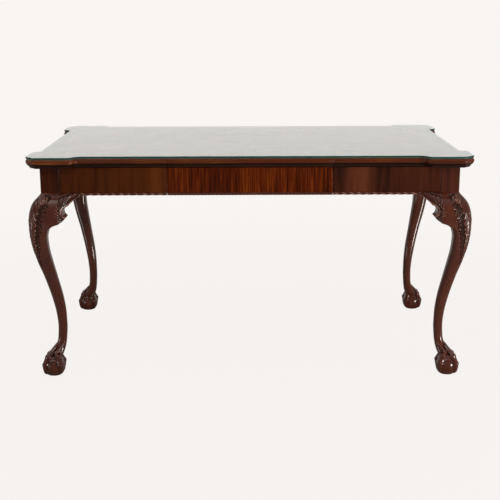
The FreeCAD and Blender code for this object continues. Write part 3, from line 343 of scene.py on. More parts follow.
def wood(name, dark, mid, light, along="z", bands=0.9, ribbons=0.9, ribbon_scale=60,
         worn_highlight=RUBBED_HIGHLIGHT, highlight_rubbing=0.0, settled_shade=0.0, coat=0.08, gloss=0.12, relief=False,
         shift=(0, 0, 0)):
    """Polished wood with its grain along one axis. Painted highlight on the arrises, also standing
    for wear, and painted shade in the hollows, also standing for dirt, follow a finely divided
    skin, so the flat pieces go without them."""
    material = bpy.data.materials.new(name)
    material.use_nodes = True
    tree = material.node_tree
    shader = tree.nodes["Principled BSDF"]
    place = add_node(tree, "ShaderNodeTexCoord").outputs["Object"]
    turned = add_node(tree, "ShaderNodeMapping", {"Vector": place, "Rotation": TURN[along],
                                                  "Location": shift}).outputs[0]
    grain = add_node(tree, "ShaderNodeGroup", node_tree=GRAIN)
    links(tree, grain, {"Vector": turned, "Dark": (*dark, 1), "Mid": (*mid, 1),
                        "Light": (*light, 1), "Bands": bands, "Ribbons": ribbons,
                        "Ribbon Scale": ribbon_scale})
    polish = add_node(tree, "ShaderNodeGroup", node_tree=POLISH)
    links(tree, polish, {"Color": grain.outputs["Color"], "Worn": (*worn_highlight, 1),
                         "Grime": (*SHADE_GRIME, 1), "Vector": place, "Rubbing": highlight_rubbing,
                         "Settled": settled_shade, "Coat": coat})
    if relief:
        carved = add_node(tree, "ShaderNodeAttribute", attribute_name="relief")
        links(tree, polish, {"Relief": carved.outputs["Fac"]})
    bump = add_node(tree, "ShaderNodeBump", {"Height": grain.outputs["Pores"],
                                             "Strength": PORE_BUMP, "Distance": -PORE_DEPTH})
    links(tree, shader, {"Base Color": polish.outputs["Color"],
                         "Roughness": polish.outputs["Roughness"],
                         "Normal": bump.outputs["Normal"],
                         "Coat Weight": polish.outputs["Polish"],
                         "Coat Roughness": gloss, "Specular IOR Level": BARE_SPECULAR})
    return material


def plain_wood(name, colour, along):
    """Unpolished wood for the hidden pieces, its grain a little darker and lighter than its
    colour."""
    darker, lighter = 0.62, 1.25
    return wood(name, dark=tuple(darker * c for c in colour), mid=colour,
                light=tuple(lighter * c for c in colour), along=along, bands=0.7, ribbons=0.5,
                ribbon_scale=45, coat=0.0)


def post_veneer_with_painted_light(side, mid):
    """The upright face of a post, on the left or the right side of the desk. The two copies
    differ by painted light: the right one lighter and pinker, the left one darker.
    """
    darker, lighter = 0.35, 2.4
    return wood(f"{side}_post_veneer_with_painted_light", dark=tuple(darker * c for c in mid), mid=mid,
                light=tuple(lighter * c for c in mid), bands=1.6, ribbons=0.9, ribbon_scale=48)


# The carved, moulded and beaded finishes paint highlight on their crests and arrises and shade in
# their hollows.
CARVED = wood("carved_mahogany", dark=(0.016, 0.0030, 0.0011), mid=(0.052, 0.0094, 0.0030),
              light=(0.100, 0.0240, 0.0085), bands=0.9, ribbons=0.7, ribbon_scale=40,
              relief=True, highlight_rubbing=0.75, settled_shade=0.85, coat=0.60, gloss=0.16)
MOULDED = {axis: wood(f"moulded_mahogany_{axis}", dark=(0.014, 0.0026, 0.0006),
                      mid=(0.060, 0.0110, 0.0020), light=(0.13, 0.036, 0.0075), along=axis,
                      bands=1.8, ribbons=1.0, ribbon_scale=50, worn_highlight=(0.18, 0.075, 0.045),
                      relief=True, highlight_rubbing=0.35, settled_shade=0.85, coat=0.25, gloss=0.25)
           for axis in "xy"}
BEADED = wood("beaded_mahogany", dark=(0.02, 0.006, 0.003), mid=(0.055, 0.018, 0.011),
              light=(0.11, 0.046, 0.031), bands=0.6, ribbons=0.5, worn_highlight=(0.30, 0.17, 0.13),
              relief=True, highlight_rubbing=0.8, settled_shade=0.95)
FRONTS = {
    "left": wood("left_drawer_veneer", dark=(0.018, 0.0042, 0.0009),
                 mid=(0.050, 0.0111, 0.0020), light=(0.085, 0.0207, 0.0035),
                 bands=1.8, ribbons=0.9, ribbon_scale=48, coat=0.03),
    "centre": wood("centre_drawer_veneer", dark=(0.019, 0.0026, 0.0004),
                   mid=(0.055, 0.0072, 0.0006), light=(0.120, 0.0205, 0.0014),
                   bands=0.7, ribbons=2.4, ribbon_scale=155, coat=0.03),
    "right": wood("right_drawer_veneer", dark=(0.013, 0.0034, 0.0015),
                  mid=(0.036, 0.0086, 0.0036), light=(0.078, 0.0200, 0.0080),
                  bands=2.2, ribbons=0.9, ribbon_scale=44, coat=0.03, shift=(1.7, 0.4, 0)),
}
# The right post is lighter and pinker than the left: painted light and reflection from the right
# side.
POSTS = {"left": post_veneer_with_painted_light("left", (0.027, 0.0052, 0.0013)),
         "right": post_veneer_with_painted_light("right", (0.044, 0.0115, 0.0062))}
SIDES = wood("apron_veneer", dark=(0.018, 0.0042, 0.0010), mid=(0.055, 0.0120, 0.0024),
             light=(0.105, 0.0270, 0.0050), bands=1.4, ribbons=1.1, ribbon_scale=55)
RAILS = wood("rail_mahogany", dark=(0.02, 0.006, 0.003), mid=(0.055, 0.018, 0.009),
             light=(0.09, 0.03, 0.014), along="x", coat=0.1)
TOP = wood("top_veneer", dark=(0.065, 0.0150, 0.0050), mid=(0.19, 0.048, 0.014),
           light=(0.34, 0.110, 0.032), along="x", bands=1.3, ribbons=1.2, ribbon_scale=42,
           coat=0.0)
INSIDE = {axis: plain_wood(f"carcase_wood_{axis}", (0.36, 0.22, 0.12), axis) for axis in "xy"}
BOX = {axis: plain_wood(f"drawer_wood_{axis}", (0.47, 0.31, 0.18), axis) for axis in "xy"}


def simple(name, colour, roughness, metallic=0.0, transmission=0.0, mottle=0.06, specular=0.5):
    """A plain finish whose colour drifts darker by twice the mottle, and whose roughness drifts
    up by two fifths, over the surface."""
    material = bpy.data.materials.new(name)
    material.use_nodes = True
    tree = material.node_tree
    drift_scale, smear_scale = 9.0, 30.0
    rougher = roughness * 1.4 + 0.01
    place = add_node(tree, "ShaderNodeTexCoord").outputs["Object"]
    drift = noise(tree, place, drift_scale, 4, 0.6)
    shade = tuple(c * (1 - 2 * mottle) for c in colour)
    tint = mix(tree, span(tree, drift, 0.3, 0.7), (*shade, 1), (*colour, 1))
    smear = span(tree, noise(tree, place, smear_scale, 3, 0.5), 0.3, 0.7, roughness, rougher)
    links(tree, tree.nodes["Principled BSDF"], {
        "Base Color": tint, "Roughness": smear, "Metallic": metallic,
        "Transmission Weight": transmission, "Specular IOR Level": specular})
    return material


GLASS = simple("clear_glass", (0.83, 0.97, 0.93), 0.012, transmission=1.0, mottle=0.01)
GLASS_ARRIS = simple("ground_glass", (0.22, 0.26, 0.20), 0.35, specular=0.3)
GLASS_EDGE = simple("glass_edge", (0.010, 0.045, 0.034), 0.12, specular=0.1)
RUBBER = simple("clear_rubber", (0.6, 0.6, 0.57), 0.4, transmission=0.4)
STEEL = simple("screw_steel", (0.45, 0.45, 0.45), 0.3, metallic=1.0)


# ---------------------------------------------------------------- legs

# Height, outer face beyond the post, inner face, rounding of the outer and the other corners.
CABRIOLE = np.array([
    (649.5, 0, 63.5, 2, 2), (637.5, 11, 63.5, 8, 3), (621.5, 26, 63.5, 16, 4),
    (599.5, 36.5, 63.5, 24, 5), (571.5, 42, 63.5, 28, 6), (551.5, 43.5, 63, 28, 8),
    (541.5, 43, 41, 26, 12), (527.5, 42.5, 23.5, 24, 14), (499.5, 40, 17.5, 22, 16),
    (461.5, 34, 20, 20, 18), (409.5, 21, 28.5, 19, 18), (355.5, 5, 38.5, 17, 17),
    (266, -16, 54, 16, 16), (212, -25, 58.5, 14, 14), (170, -28, 59, 13, 13),
    (128, -26, 56.5, 13, 13), (98, -18, 52.5, 15, 15), (78, -6, 47, 19, 19),
    (60, 14, 39, 25, 25)])
# Middle of the C-scroll, along from the post's outer face and in height, and its radius.
SCROLL = (93.4, FRIEZE_BOTTOM - 61.3)
SCROLL_RADIUS = 19.2
# The ball: how far its middle is from each outer face of the post, its radius and its height.
FOOT_AXIS = 12.5
BALL_RADIUS = 38
BALL_HEIGHT = 28
# Where the foot's own skin takes over, the lowest level of the cabriole's table, and where and
# how steeply the ankle closes inside the ball.
ANKLE = 112
CABRIOLE_END = 60.0
ANKLE_END, ANKLE_CLOSING = 62, 1.4
# Columns of a leg's ring: on the carved arris, on each other corner, on each face beside the
# arris, where they crowd towards it, and on each face at the back.
ARRIS_COLUMNS, CORNER_COLUMNS = 46, 10
FACE_COLUMNS, BACK_COLUMNS, CROWDING = 50, 8, 1.3


def section(height):
    """Outer face, inner face and roundings of the cabriole at each height, as smooth curves
    through its table."""
    outer, inner, corner, side = (through(height, CABRIOLE[:, 0], CABRIOLE[:, k])
                                  for k in range(1, 5))
    return -outer, inner, corner, side


def leg_rings(height):
    """Rounded squares, one to a height: four arcs of a quarter turn about a middle one radius
    inside each corner, joined by straight sides on which each point is a share of the way. The
    shares beside the arris are raised to a power, so that the columns crowd towards it."""
    low, high, corner, side = section(height)
    arcs = []
    for k, radius in enumerate((corner, side, side, side)):
        middle_x = (high - radius) if k in (1, 2) else (low + radius)
        middle_y = (high - radius) if k in (2, 3) else (low + radius)
        count = ARRIS_COLUMNS if k == 0 else CORNER_COLUMNS
        turn = np.radians(np.linspace(0, 90, count) + 180 + 90 * k)
        arcs.append(np.stack([middle_x[:, None] + radius[:, None] * np.cos(turn),
                              middle_y[:, None] + radius[:, None] * np.sin(turn)], -1))
    rings = []
    for k in range(4):
        count, power = (FACE_COLUMNS, CROWDING) if k in (0, 3) else (BACK_COLUMNS, 1)
        share = np.linspace(0, 1, count + 2)[1:-1]
        share = 1 - (1 - share) ** power if k == 3 else share ** power
        start, end = arcs[k][:, -1:], arcs[(k + 1) % 4][:, :1]
        rings += [arcs[k], start + (end - start) * share[:, None]]
    plan = np.concatenate(rings, 1)
    tall = np.broadcast_to(height[:, None, None], (*plan.shape[:2], 1))
    return np.concatenate([plan, tall], -1)


def from_arris(rings):
    """Distance along each ring from the middle of the arris, as the running sum of the steps:
    positive one way round, negative the other."""
    step = np.linalg.norm(np.roll(rings, -1, 1) - rings, axis=-1)
    run = np.concatenate([np.zeros((len(rings), 1)), np.cumsum(step, 1)], 1)
    whole = run[:, -1:]
    middle = ARRIS_COLUMNS // 2
    run = run[:, :-1] - (run[:, middle - 1:middle] + run[:, middle:middle + 1]) / 2
    return (run + whole / 2) % whole - whole / 2


# Carving of the knee, each as heights in millimetres and what holds there: how far the leaf
# reaches to each side, the count of its lobes and of the leaflets of both ranks from the lower
# end up, and half the width of its stem.
LEAF_REACH = ((394, 404, 444, 484, 524, 564, 600, 626, 641, 647),
              (0, 5, 17, 28, 39, 47, 51, 50, 44, 20))
LOBES = ((380, 450, 520, 600, 760), (0, 3.9, 7.4, 11.2, 18.0))
LONG_RANK = ((370, 450, 520, 600, 780), (0, 7.4, 13.2, 18.6, 27.6))
SHORT_RANK = ((370, 450, 520, 600, 780), (0.4, 7.0, 12.0, 16.8, 25.2))
STEM_WIDTH = ((395, 480, 600, 640), (1.2, 2.2, 3.6, 3.0))
LEAF_LOW, LEAF_TOP = 393, 648
# The rolled end at the leaf's top: its place to the side and in height, its radius, how many
# turns its ridge makes, and how much of it the button in the middle takes up.
ROLL_SIDE, ROLL_HEIGHT, ROLL_RADIUS = 30, 626, 13.0
ROLL_TURNS, ROLL_BUTTON = 2.0, 0.26
# How high the carving stands at most over its sunk ground, which is how deep it is cut.
CUT = 2.6


def leaflets(side, height, lean, curl, count, reach):
    """A rank of carved leaflets that run out from a stem and curl down. The count, read at the
    height plus lean times the side distance plus curl times its square, says which leaflet it
    is, and its fraction how far across. Each is domed as a power of a half sine, is longer in
    its middle, which rounds its tip, swells by a bell just inside the tip, and has fine veins.
    Returns how high they stand, from 0 to 1, and how far inside their tips each point is."""
    bow, fullness = 0.7, 0.6
    shortest, tip_round = 0.86, 0.14
    swell_in, swell_width, level, swell_height = 3.0, 2.4, 0.70, 0.34
    veins, vein_depth = 2.5, 0.20

    rank = through(height + (lean * side + curl * side * side), *count)
    leaf = rank % 1.0
    dome = np.sin(np.pi * leaf ** bow) ** fullness
    length = reach * (shortest + tip_round * np.sin(np.pi * leaf) ** 0.5)
    inside = length - side
    swell = np.exp(-((inside - swell_in) / swell_width) ** 2)
    vein = vein_depth * np.abs(np.sin(veins * np.pi * leaf)) * ramp(inside, 2, 8)
    body = dome * (level + swell_height * swell) - vein
    return np.clip(body, 0, 1) * ramp(inside, -0.3, 1.6), inside


def rolled_end(side, height):
    """A rolled leaf end: a ridge that is a power of the sine of the distance from its middle
    less the turn, which makes a spiral, round a button that is half a ball. Returns how high it
    stands and how far inside its rim each point is."""
    x, z = side - ROLL_SIDE, height - ROLL_HEIGHT
    away = np.hypot(x, z)
    turn = np.arctan2(z, x) / (2 * np.pi)
    ridge = np.abs(np.sin(np.pi * (away / ROLL_RADIUS * ROLL_TURNS - turn))) ** 0.6
    button = np.sqrt(np.clip(1 - (away / (ROLL_BUTTON * ROLL_RADIUS)) ** 2, 0, 1))
    inside = ROLL_RADIUS - away
    return np.maximum(ridge * ramp(inside, 0, 2.0), 1.15 * button), inside


def acanthus(distance, height):
    """Carving on the arris of the knee: a long rank of leaflets that curl out and down from the
    stem, a short steep rank over it, a grooved stem, and a rolled end at the top, each taking
    over from the one before where it begins, and all outlined by a sunk groove. Sine waves in
    the height and to the side make the leaves wander a little. Returns depth and relief."""
    sway, wave = 1.6, 2.4
    lobe_lean, lobe_curl, lobe_in, lobe_out = 0.30, 0.016, 0.74, 0.30
    long_lean, long_curl, short_lean, short_curl, short_reach = 0.20, 0.020, 1.1, 0.030, 0.56

    side = np.abs(distance)
    wandering = side + sway * np.sin(height / 11.0)
    tall = height + wave * np.sin(side / 7.0 + height / 19.0)
    lobe = through(tall + lobe_lean * side + lobe_curl * side * side, *LOBES)
    lobe = np.abs(np.sin(np.pi * lobe)) ** 0.55
    reach = through(height, *LEAF_REACH) * (lobe_in + lobe_out * lobe)
    long_rank, far = leaflets(wandering, tall, long_lean, long_curl, LONG_RANK, reach)
    short_rank, near = leaflets(wandering, tall, short_lean, short_curl, SHORT_RANK,
                                short_reach * reach)
    stem_width = through(height, *STEM_WIDTH)
    stem = np.clip(1 - (side / stem_width) ** 2, 0, 1) * (1 - 0.5 * np.exp(-(side / 0.9) ** 2))
    roll, in_roll = rolled_end(side, height)
    # Between two lobes a small eye is sunk; each level below is a height over the ground.
    eye = ramp(0.45 - lobe, 0, 0.25) * ramp(far, 1, 4) * ramp(14 - far, 0, 5)
    layer = (1.5 + 0.5 * lobe) * long_rank - 1.3 * eye
    layer = layer + ramp(near, -1.8, -0.2) * (0.8 + 1.7 * short_rank - layer)
    layer = layer + ramp(in_roll, -0.8, 1.2) * (0.9 + 1.8 * roll - layer)
    layer = np.maximum(layer, 2.3 * stem)
    ground = ramp(np.maximum(far, in_roll), -3.0, -1.0)
    ground = ground * ramp(height, LEAF_LOW, LEAF_LOW + 8) * ramp(LEAF_TOP - height, 0, 4)
    # The relief, from -1 to 1, paints highlight on the highest crests and shade in the hollows.
    return ground * np.minimum(layer - CUT, 0), ground * np.clip(1.3 * layer - 2.0, -1, 1)


# Petals round a C-scroll: how many in half a turn, and how they are swept, in degrees for each
# millimetre outwards.
PETALS, PETAL_SWEEP = 12, 0.9
# Their border on the knee: how far it reaches beyond the scroll, how much further each petal
# does, how deep the grooves between them are, and where the border ends below.
BORDER_REACH, BORDER_TIP, BORDER_DEPTH, BORDER_LOW = 25, 3.5, 1.7, 560


def petals(bearing, beyond):
    """Petals round a C-scroll: fine ridges from 0 to 1, a power of the sine of the bearing."""
    return np.abs(np.sin(np.radians(bearing + PETAL_SWEEP * beyond) * PETALS)) ** 0.6


def petal_border(rings):
    """Where the petals of both brackets run on over the knee beside them: how deep the grooves
    between them are, and their relief. The border fades by a ramp at its rim, at its lower end
    and at the frieze, and stops short of the brackets' seats."""
    along, height = rings[..., :2].max(-1), rings[..., 2]
    x, z = along - SCROLL[0], height - SCROLL[1]
    beyond = np.hypot(x, z) - SCROLL_RADIUS
    petal = petals(np.degrees(np.arctan2(z, x)) % 360, beyond)
    here = ramp(BORDER_REACH + BORDER_TIP * petal - beyond, 0, 3)
    here = here * ramp(height, BORDER_LOW, BORDER_LOW + 8)
    here = here * ramp(FRIEZE_BOTTOM - 2 - height, 0, 4) * (along < POST - 0.2)
    # The relief paints highlight on the petals and shade between them.
    return -BORDER_DEPTH * here * (1 - petal), here * (2 * petal - 1)


# The talons, from the ankle down: each joint's distance from the ball's upright axis, its
# height and its radius. They start as a narrow root inside the ankle.
TALON_JOINTS = ((12, 77, 8.0), (23, 65, 12.4), (32, 52, 9.6), (36.5, 40.5, 12.0),
                (38.4, 30, 8.8), (38.8, 23, 7.2), (37.8, 15.5, 6.0), (34.5, 9.0, 4.2))
ROOT_MIDDLE, ROOT_OUT, ROOT_HEIGHT, ROOT_RADIUS = 35.2, 13, 106, 2.0
# The arched web between them: its lower edge beside a talon, and how much higher it is in the
# middle, how far it stands out from the ball, and how deep the groove along its edge is.
WEB_LOW, WEB_RISE, WEB_THICK, WEB_GROOVE = 33, 17, 3.2, 1.2


def stick(place, start, end, start_radius, end_radius):
    """Distance to a round stick whose radius changes evenly from one end to the other: the
    distance to the nearest point of its middle line, less the radius there."""
    start, end = np.array(start, float), np.array(end, float)
    way = end - start
    share = np.clip((place - start) @ way / (way @ way), 0, 1)
    gap = np.linalg.norm(place - start - share[..., None] * way, axis=-1)
    return gap - start_radius - share * (end_radius - start_radius)


def talon_field(place):
    """Distance to the nearest talon: sticks from joint to joint, blended where they meet."""
    far_off, aslant = 99.0, math.sqrt(0.5)
    field = np.full(place.shape[:-1], far_off)
    for way_x, way_y in ((-1, -1), (1, -1), (1, 1), (-1, 1)):
        spots = [(ROOT_MIDDLE + way_x * ROOT_OUT, ROOT_MIDDLE + way_y * ROOT_OUT, ROOT_HEIGHT)]
        spots += [(FOOT_AXIS + way_x * out * aslant, FOOT_AXIS + way_y * out * aslant, height)
                  for out, height, _ in TALON_JOINTS]
        sizes = [ROOT_RADIUS] + [size for *_, size in TALON_JOINTS]
        for k in range(len(spots) - 1):
            part = stick(place, spots[k], spots[k + 1], sizes[k], sizes[k + 1])
            field = blend(field, part, 1.2)
    return field


def foot_field(place):
    """Below zero inside the foot: the least of the distances to a ball, to an arched web that
    hangs over it from the ankle, to the ankle's rounded square, and to the four talons, with
    the creases rounded. Also how near each point is to a crease beside a talon, as a bell."""
    x, y, z = place[..., 0], place[..., 1], place[..., 2]
    out_x, out_y = x - FOOT_AXIS, y - FOOT_AXIS
    from_ball = np.sqrt(out_x ** 2 + out_y ** 2 + (z - BALL_HEIGHT) ** 2) - BALL_RADIUS
    from_face = np.abs((np.degrees(np.arctan2(out_y, out_x)) + 360) % 90 - 45)
    above = z - WEB_LOW - WEB_RISE * np.sin(np.radians(from_face * 2)) ** 0.8
    web = from_ball - WEB_THICK * ramp(above, -1, 6) + WEB_GROOVE * np.exp(-(above / 1.8) ** 2)
    web = np.maximum(web, -2 - above)
    low, high, corner, _ = section(np.maximum(z, CABRIOLE_END))
    centre, half = (low + high) / 2, (high - low) / 2
    over_x = np.abs(x - centre) - half + corner
    over_y = np.abs(y - centre) - half + corner
    ankle = np.hypot(np.maximum(over_x, 0), np.maximum(over_y, 0)) - corner
    ankle = ankle + np.minimum(np.maximum(over_x, over_y), 0)
    ankle = ankle + np.maximum(ANKLE_END - z, 0) * ANKLE_CLOSING
    field = np.minimum(blend(web, ankle, 7), from_ball)
    talons = talon_field(place)
    # How near each point is to a crease beside a talon, later painted as shade.
    crease = np.exp(-((field - talons) / 1.6) ** 2)
    return blend(field, talons, 3.0), crease


def foot_rings(height, start_ring):
    """The foot's skin: on each height, along each bearing from the leg's middle, the distance at
    which the field is zero, found by halving. The bearings start as the ring above has them and
    pass into even ones. Returns the rings and their relief, which is painted shade in the
    creases."""
    low, high, *_ = section(np.maximum(height, CABRIOLE_END))
    middle = np.where(height > CABRIOLE_END, (low + high) / 2, FOOT_AXIS)
    at_top = start_ring[:, :2] - middle[0]
    at_top = np.unwrap(np.arctan2(at_top[:, 1], at_top[:, 0]))
    whole_turn = np.sign(at_top[-1] - at_top[0]) * np.linspace(0, 2 * np.pi, len(at_top) + 1)
    even = at_top[0] + whole_turn[:-1]
    shift = ramp(ANKLE - height, 0, 34)[:, None]
    bearing = (1 - shift) * at_top + shift * even
    bearing = np.stack([np.cos(bearing), np.sin(bearing)], -1)
    tall = np.broadcast_to(height[:, None, None], (*bearing.shape[:2], 1))

    def skin(reach):
        """Points at a distance from the middle on every bearing, one ring to a height."""
        plan = middle[:, None, None] + reach[..., None] * bearing
        return np.concatenate([plan, tall], -1)

    nearest, furthest, halvings = 1.0, 68.0, 22
    near, far = np.full(tall.shape[:2], nearest), np.full(tall.shape[:2], furthest)
    for _ in range(halvings):
        reach = (near + far) / 2
        inside = foot_field(skin(reach))[0] < 0
        near, far = np.where(inside, reach, near), np.where(inside, far, reach)
    rings = skin(near)
    # The relief is painted shade in the creases, fading out up the ankle.
    return rings, -foot_field(rings)[1] * ramp(90 - height, 0, 20)[:, None]


def outward(rings):
    """Unit normals that point away from the middle of each ring."""
    direction = normals(rings)
    away = rings - rings.mean(1, keepdims=True)
    return direction * np.sign((direction * away).sum(-1, keepdims=True).mean())


def leg():
    """One leg in its corner's own distances: the post, the knee, its skin moved along its
    normals by the depth of the carving, the calf and the ankle, and below them the foot."""
    post = [POST_TOP, POST_TOP - 1, 690, FRIEZE_BOTTOM + 0.4]
    carved = np.linspace(FRIEZE_BOTTOM, LEAF_LOW - 1, 250)
    plain = np.linspace(LEAF_LOW - 7, ANKLE, 46)
    height = np.concatenate([post, carved, plain])
    shaft = leg_rings(np.minimum(height, FRIEZE_BOTTOM))
    shaft[..., 2] = height[:, None]
    leaf_depth, leaf_relief = acanthus(from_arris(shaft), shaft[..., 2])
    border_depth, border_relief = petal_border(shaft)
    shaft = shaft + outward(shaft) * (leaf_depth + border_depth)[..., None]
    foot, foot_relief = foot_rings(np.linspace(ANKLE - 1, 0, 98), shaft[-1])
    relief = np.concatenate([leaf_relief + border_relief, foot_relief])
    return np.concatenate([shaft, foot]), relief


LEG, LEG_RELIEF = leg()
IN_FRIEZE = LEG[1:, 0, 2] > FRIEZE_BOTTOM
for corner in CORNERS:
    veneer = POSTS[corner.split("_")[1]]
    add_piece(f"carved_{corner}_leg", placed(LEG[..., 0], LEG[..., 1], LEG[..., 2], corner),
              "case", [f"{corner}_leg"], [CARVED, veneer], {"relief": LEG_RELIEF},
              face_slots=np.concatenate([[1], IN_FRIEZE * 1, [0]]))


# ---------------------------------------------------------------- knee brackets

SEAT = POST
TIP = SEAT + 66
# How far the face stands in front of the post: at the seat and at the tip, how much it hollows
# between them, at the brow's lower end, how much the brow swells, and over what height.
FACE_SEAT, FACE_TIP, FACE_HOLLOW = 38, 3, 8
BROW_OUT, BROW_SWELL, BROW_HEIGHT = 37, 11, 75
# Bearings round the scroll's middle in degrees: the first and the last loop, where the top's
# edge passes into the seat, where the foot begins, and where the wing passes into the scroll.
BEARINGS = (54.6, 242.6)
TOP_END, FOOT_START, WING_END = 116.3, 230, 97
# Distances from the scroll's middle at some bearings: the foot's outer edge, and the inner edge
# of the wing that sweeps out to the tip.
FOOT_EDGE = ((230, 237, 243), (47, 35, 20.4))
WING_EDGE = ((54, 59, 66, 75, 86, 97), (61.5, 52, 41, 31, 23.5, SCROLL_RADIUS))
# Carving, outwards from the scroll: the rib, the fillet and how far the petals reach.
RIB_MIDDLE, RIB_HALF, RIB_HEIGHT = 4, 4, 2.8
FILLET_MIDDLE, FILLET_HALF, FILLET_HEIGHT = 9.6, 1.3, 1.2
PETAL_START, PETAL_END, SINK = 10.2, 33, 1.8


def bracket_front(along, height):
    """How far the face stands in front of the post. In plan it falls evenly from seat to tip
    less a parabola's hollow; down the brow it rises evenly plus a parabola's swelling. It is
    whichever is less, with the crease between them softened."""
    t = np.clip((along - SEAT) / (TIP - SEAT), 0, 1)
    plan = FACE_SEAT - (FACE_SEAT - FACE_TIP) * t - FACE_HOLLOW * 4 * t * (1 - t)
    b = np.clip((FRIEZE_BOTTOM - height) / BROW_HEIGHT, 0, 1)
    brow = 1 + BROW_OUT * b + BROW_SWELL * 4 * b * (1 - b)
    return blend(plan, brow, 5)


def half_round(at, middle, half, height):
    """A raised half round: the root of one less the square of the distance from its middle."""
    return np.sqrt(np.clip(1 - ((at - middle) / half) ** 2, 0, 1)) * height


def bracket_carving(out, room, end, petal):
    """Relief at a distance out from the scroll: a rib, a fillet and petals, whichever is the
    highest, over a sunk ground between the rib and the petals' end."""
    rib = half_round(out, RIB_MIDDLE, RIB_HALF, RIB_HEIGHT)
    fillet = half_round(out, FILLET_MIDDLE, FILLET_HALF, FILLET_HEIGHT)
    tips = ramp(end + 4 * petal - out, 0, 4) * ramp(out, PETAL_START, 12)
    feather = tips * (0.4 + 2.4 * petal)
    sunk = ramp(out, 7, 9) * ramp(end + 7 - out, 0, 5)
    relief = np.maximum(np.maximum(rib, fillet), feather) - SINK * sunk
    # The second value is the relief that paints highlight on the crests and shade in the sunk
    # ground.
    return relief * ramp(room, 1, 9), np.clip(relief / 1.6, -1, 1) * ramp(room, 2, 10)


def bracket():
    """A knee bracket in its corner's own distances, as loops round the C-scroll's middle: on
    each bearing out along the carved face, from the scroll or the wing to the frieze, the tip,
    the seat or the foot, and back along the flat back. Returns its grid and its relief."""
    bearing = np.radians(np.linspace(*BEARINGS, 190))
    degrees = np.degrees(bearing)
    cos, sin = np.cos(bearing), np.sin(bearing)
    least = 0.05
    top = (FRIEZE_BOTTOM - SCROLL[1]) / np.where(sin > least, sin, least)
    seat = (SEAT - SCROLL[0]) / np.where(cos < -least, cos, -least)
    tip = (TIP - SCROLL[0]) / np.where(cos > least, cos, least)
    outer = np.where(degrees < TOP_END, np.minimum(top, tip), seat)
    outer = np.where(degrees > FOOT_START, through(degrees, *FOOT_EDGE), outer)
    inner = np.where(degrees < WING_END, through(degrees, *WING_EDGE), SCROLL_RADIUS)
    inner = np.minimum(inner, outer - 0.2)
    room = (outer - inner)[:, None]
    carved = inner[:, None] + room * np.linspace(0, 1, 74) ** 1.25
    flat = inner[:, None] + room * np.linspace(1, 0, 8)
    reach = np.concatenate([carved, flat], 1)
    along = SCROLL[0] + reach * cos[:, None]
    height = SCROLL[1] + reach * sin[:, None]
    beyond = carved - inner[:, None]
    end = np.where(degrees < 112, np.minimum(PETAL_END, room[:, 0] - 1), PETAL_END)[:, None]
    relief, shade = bracket_carving(beyond, room, end, petals(degrees[:, None], beyond))
    front = -bracket_front(along[:, :carved.shape[1]], height[:, :carved.shape[1]]) - relief
    out = np.concatenate([front, np.full(flat.shape, 20.0)], 1)
    return along, out, height, np.concatenate([shade, np.zeros(flat.shape)], 1)


ALONG, OUT, HEIGHT, BRACKET_RELIEF = bracket()
for corner in CORNERS:
    face = "front" if corner.startswith("front") else "back"
    for kind, swap in ((face, False), ("side", True)):
        add_piece(f"carved_{corner}_bracket_{kind}", placed(ALONG, OUT, HEIGHT, corner, swap),
                  "case", [f"{corner}_bracket_{kind}"], [CARVED],
                  {"relief": BRACKET_RELIEF}, sharp=55)


# ---------------------------------------------------------------- bead strips

# A rope's lobes: their pitch, how deep the hollows between them are, and how many lobes start
# round the bar. The centre drawer's rope is finer. Then how far apart a bar's rings are and how
# many columns each has.
PITCH, HOLLOW, STARTS = 26.0, 2.0, 2
FINE_PITCH, FINE_HOLLOW = 13.0, 1.0
BEAD_STEP = 1.4
BEAD_COLUMNS = 32


def bead(name, body, along_x, outward_sign, pitch=PITCH, hollow=HOLLOW):
    """A rope-carved strip: a bar whose section is the curve on which the fourth powers of both
    halves add up to one, and whose seen skin sinks between slanting lobes, each the sine of the
    run over the pitch plus the turn round the bar, except at its ends."""
    low, high = (np.array(corner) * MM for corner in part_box(name))
    run, thick = (0, 1) if along_x else (1, 0)
    length = high[run] - low[run]
    at = np.linspace(0, length, int(length / BEAD_STEP))
    turn = np.linspace(0, 2 * np.pi, BEAD_COLUMNS + 1)[:-1]
    cos, sin = np.cos(turn), np.sin(turn)
    half_out, half_up = (high[thick] - low[thick]) / 2, (high[2] - low[2]) / 2
    squared = (np.abs(cos) ** 4 + np.abs(sin) ** 4) ** -0.25
    lobe = np.abs(np.sin(np.pi * (at[:, None] / pitch + turn / (2 * np.pi) * STARTS))) ** 0.6
    seen = ramp(cos - 0.6 * sin, -0.3, 0.5)
    ends = ramp(np.minimum(at, length - at), 0, 3)[:, None]
    sink = hollow * (1 - lobe) * seen * ends
    out = (half_out * squared - sink) * cos
    up = (half_up * squared - sink) * sin
    rings = np.zeros((len(at), len(turn), 3))
    rings[..., run] = low[run] + at[:, None]
    rings[..., thick] = (low[thick] + high[thick]) / 2 + outward_sign * out
    rings[..., 2] = (low[2] + high[2]) / 2 + up
    # The relief paints highlight on the lobes and shade in the hollows between them.
    relief = np.clip((lobe * 2 - 1) * seen * hollow / HOLLOW, -1, 1)
    add_piece(f"carved_{name}", rings, body, [name], [BEADED], {"relief": relief})


bead("left_drawer_bead", "left_drawer", True, -1)
bead("centre_drawer_bead", "centre_drawer", True, -1, FINE_PITCH, FINE_HOLLOW)
bead("right_drawer_bead", "right_drawer", True, -1)
bead("left_apron_bead", "case", False, -1)
bead("right_apron_bead", "case", False, 1)
bead("back_apron_bead", "case", True, 1)


# ---------------------------------------------------------------- top: mouldings and glass

TOP_HALF = np.array([CAD_BOX[1].x, CAD_BOX[1].y]) * MM
CORE_HALF = np.array(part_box("top_panel")[1][:2]) * MM
WOOD_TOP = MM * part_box("top_panel")[1].z
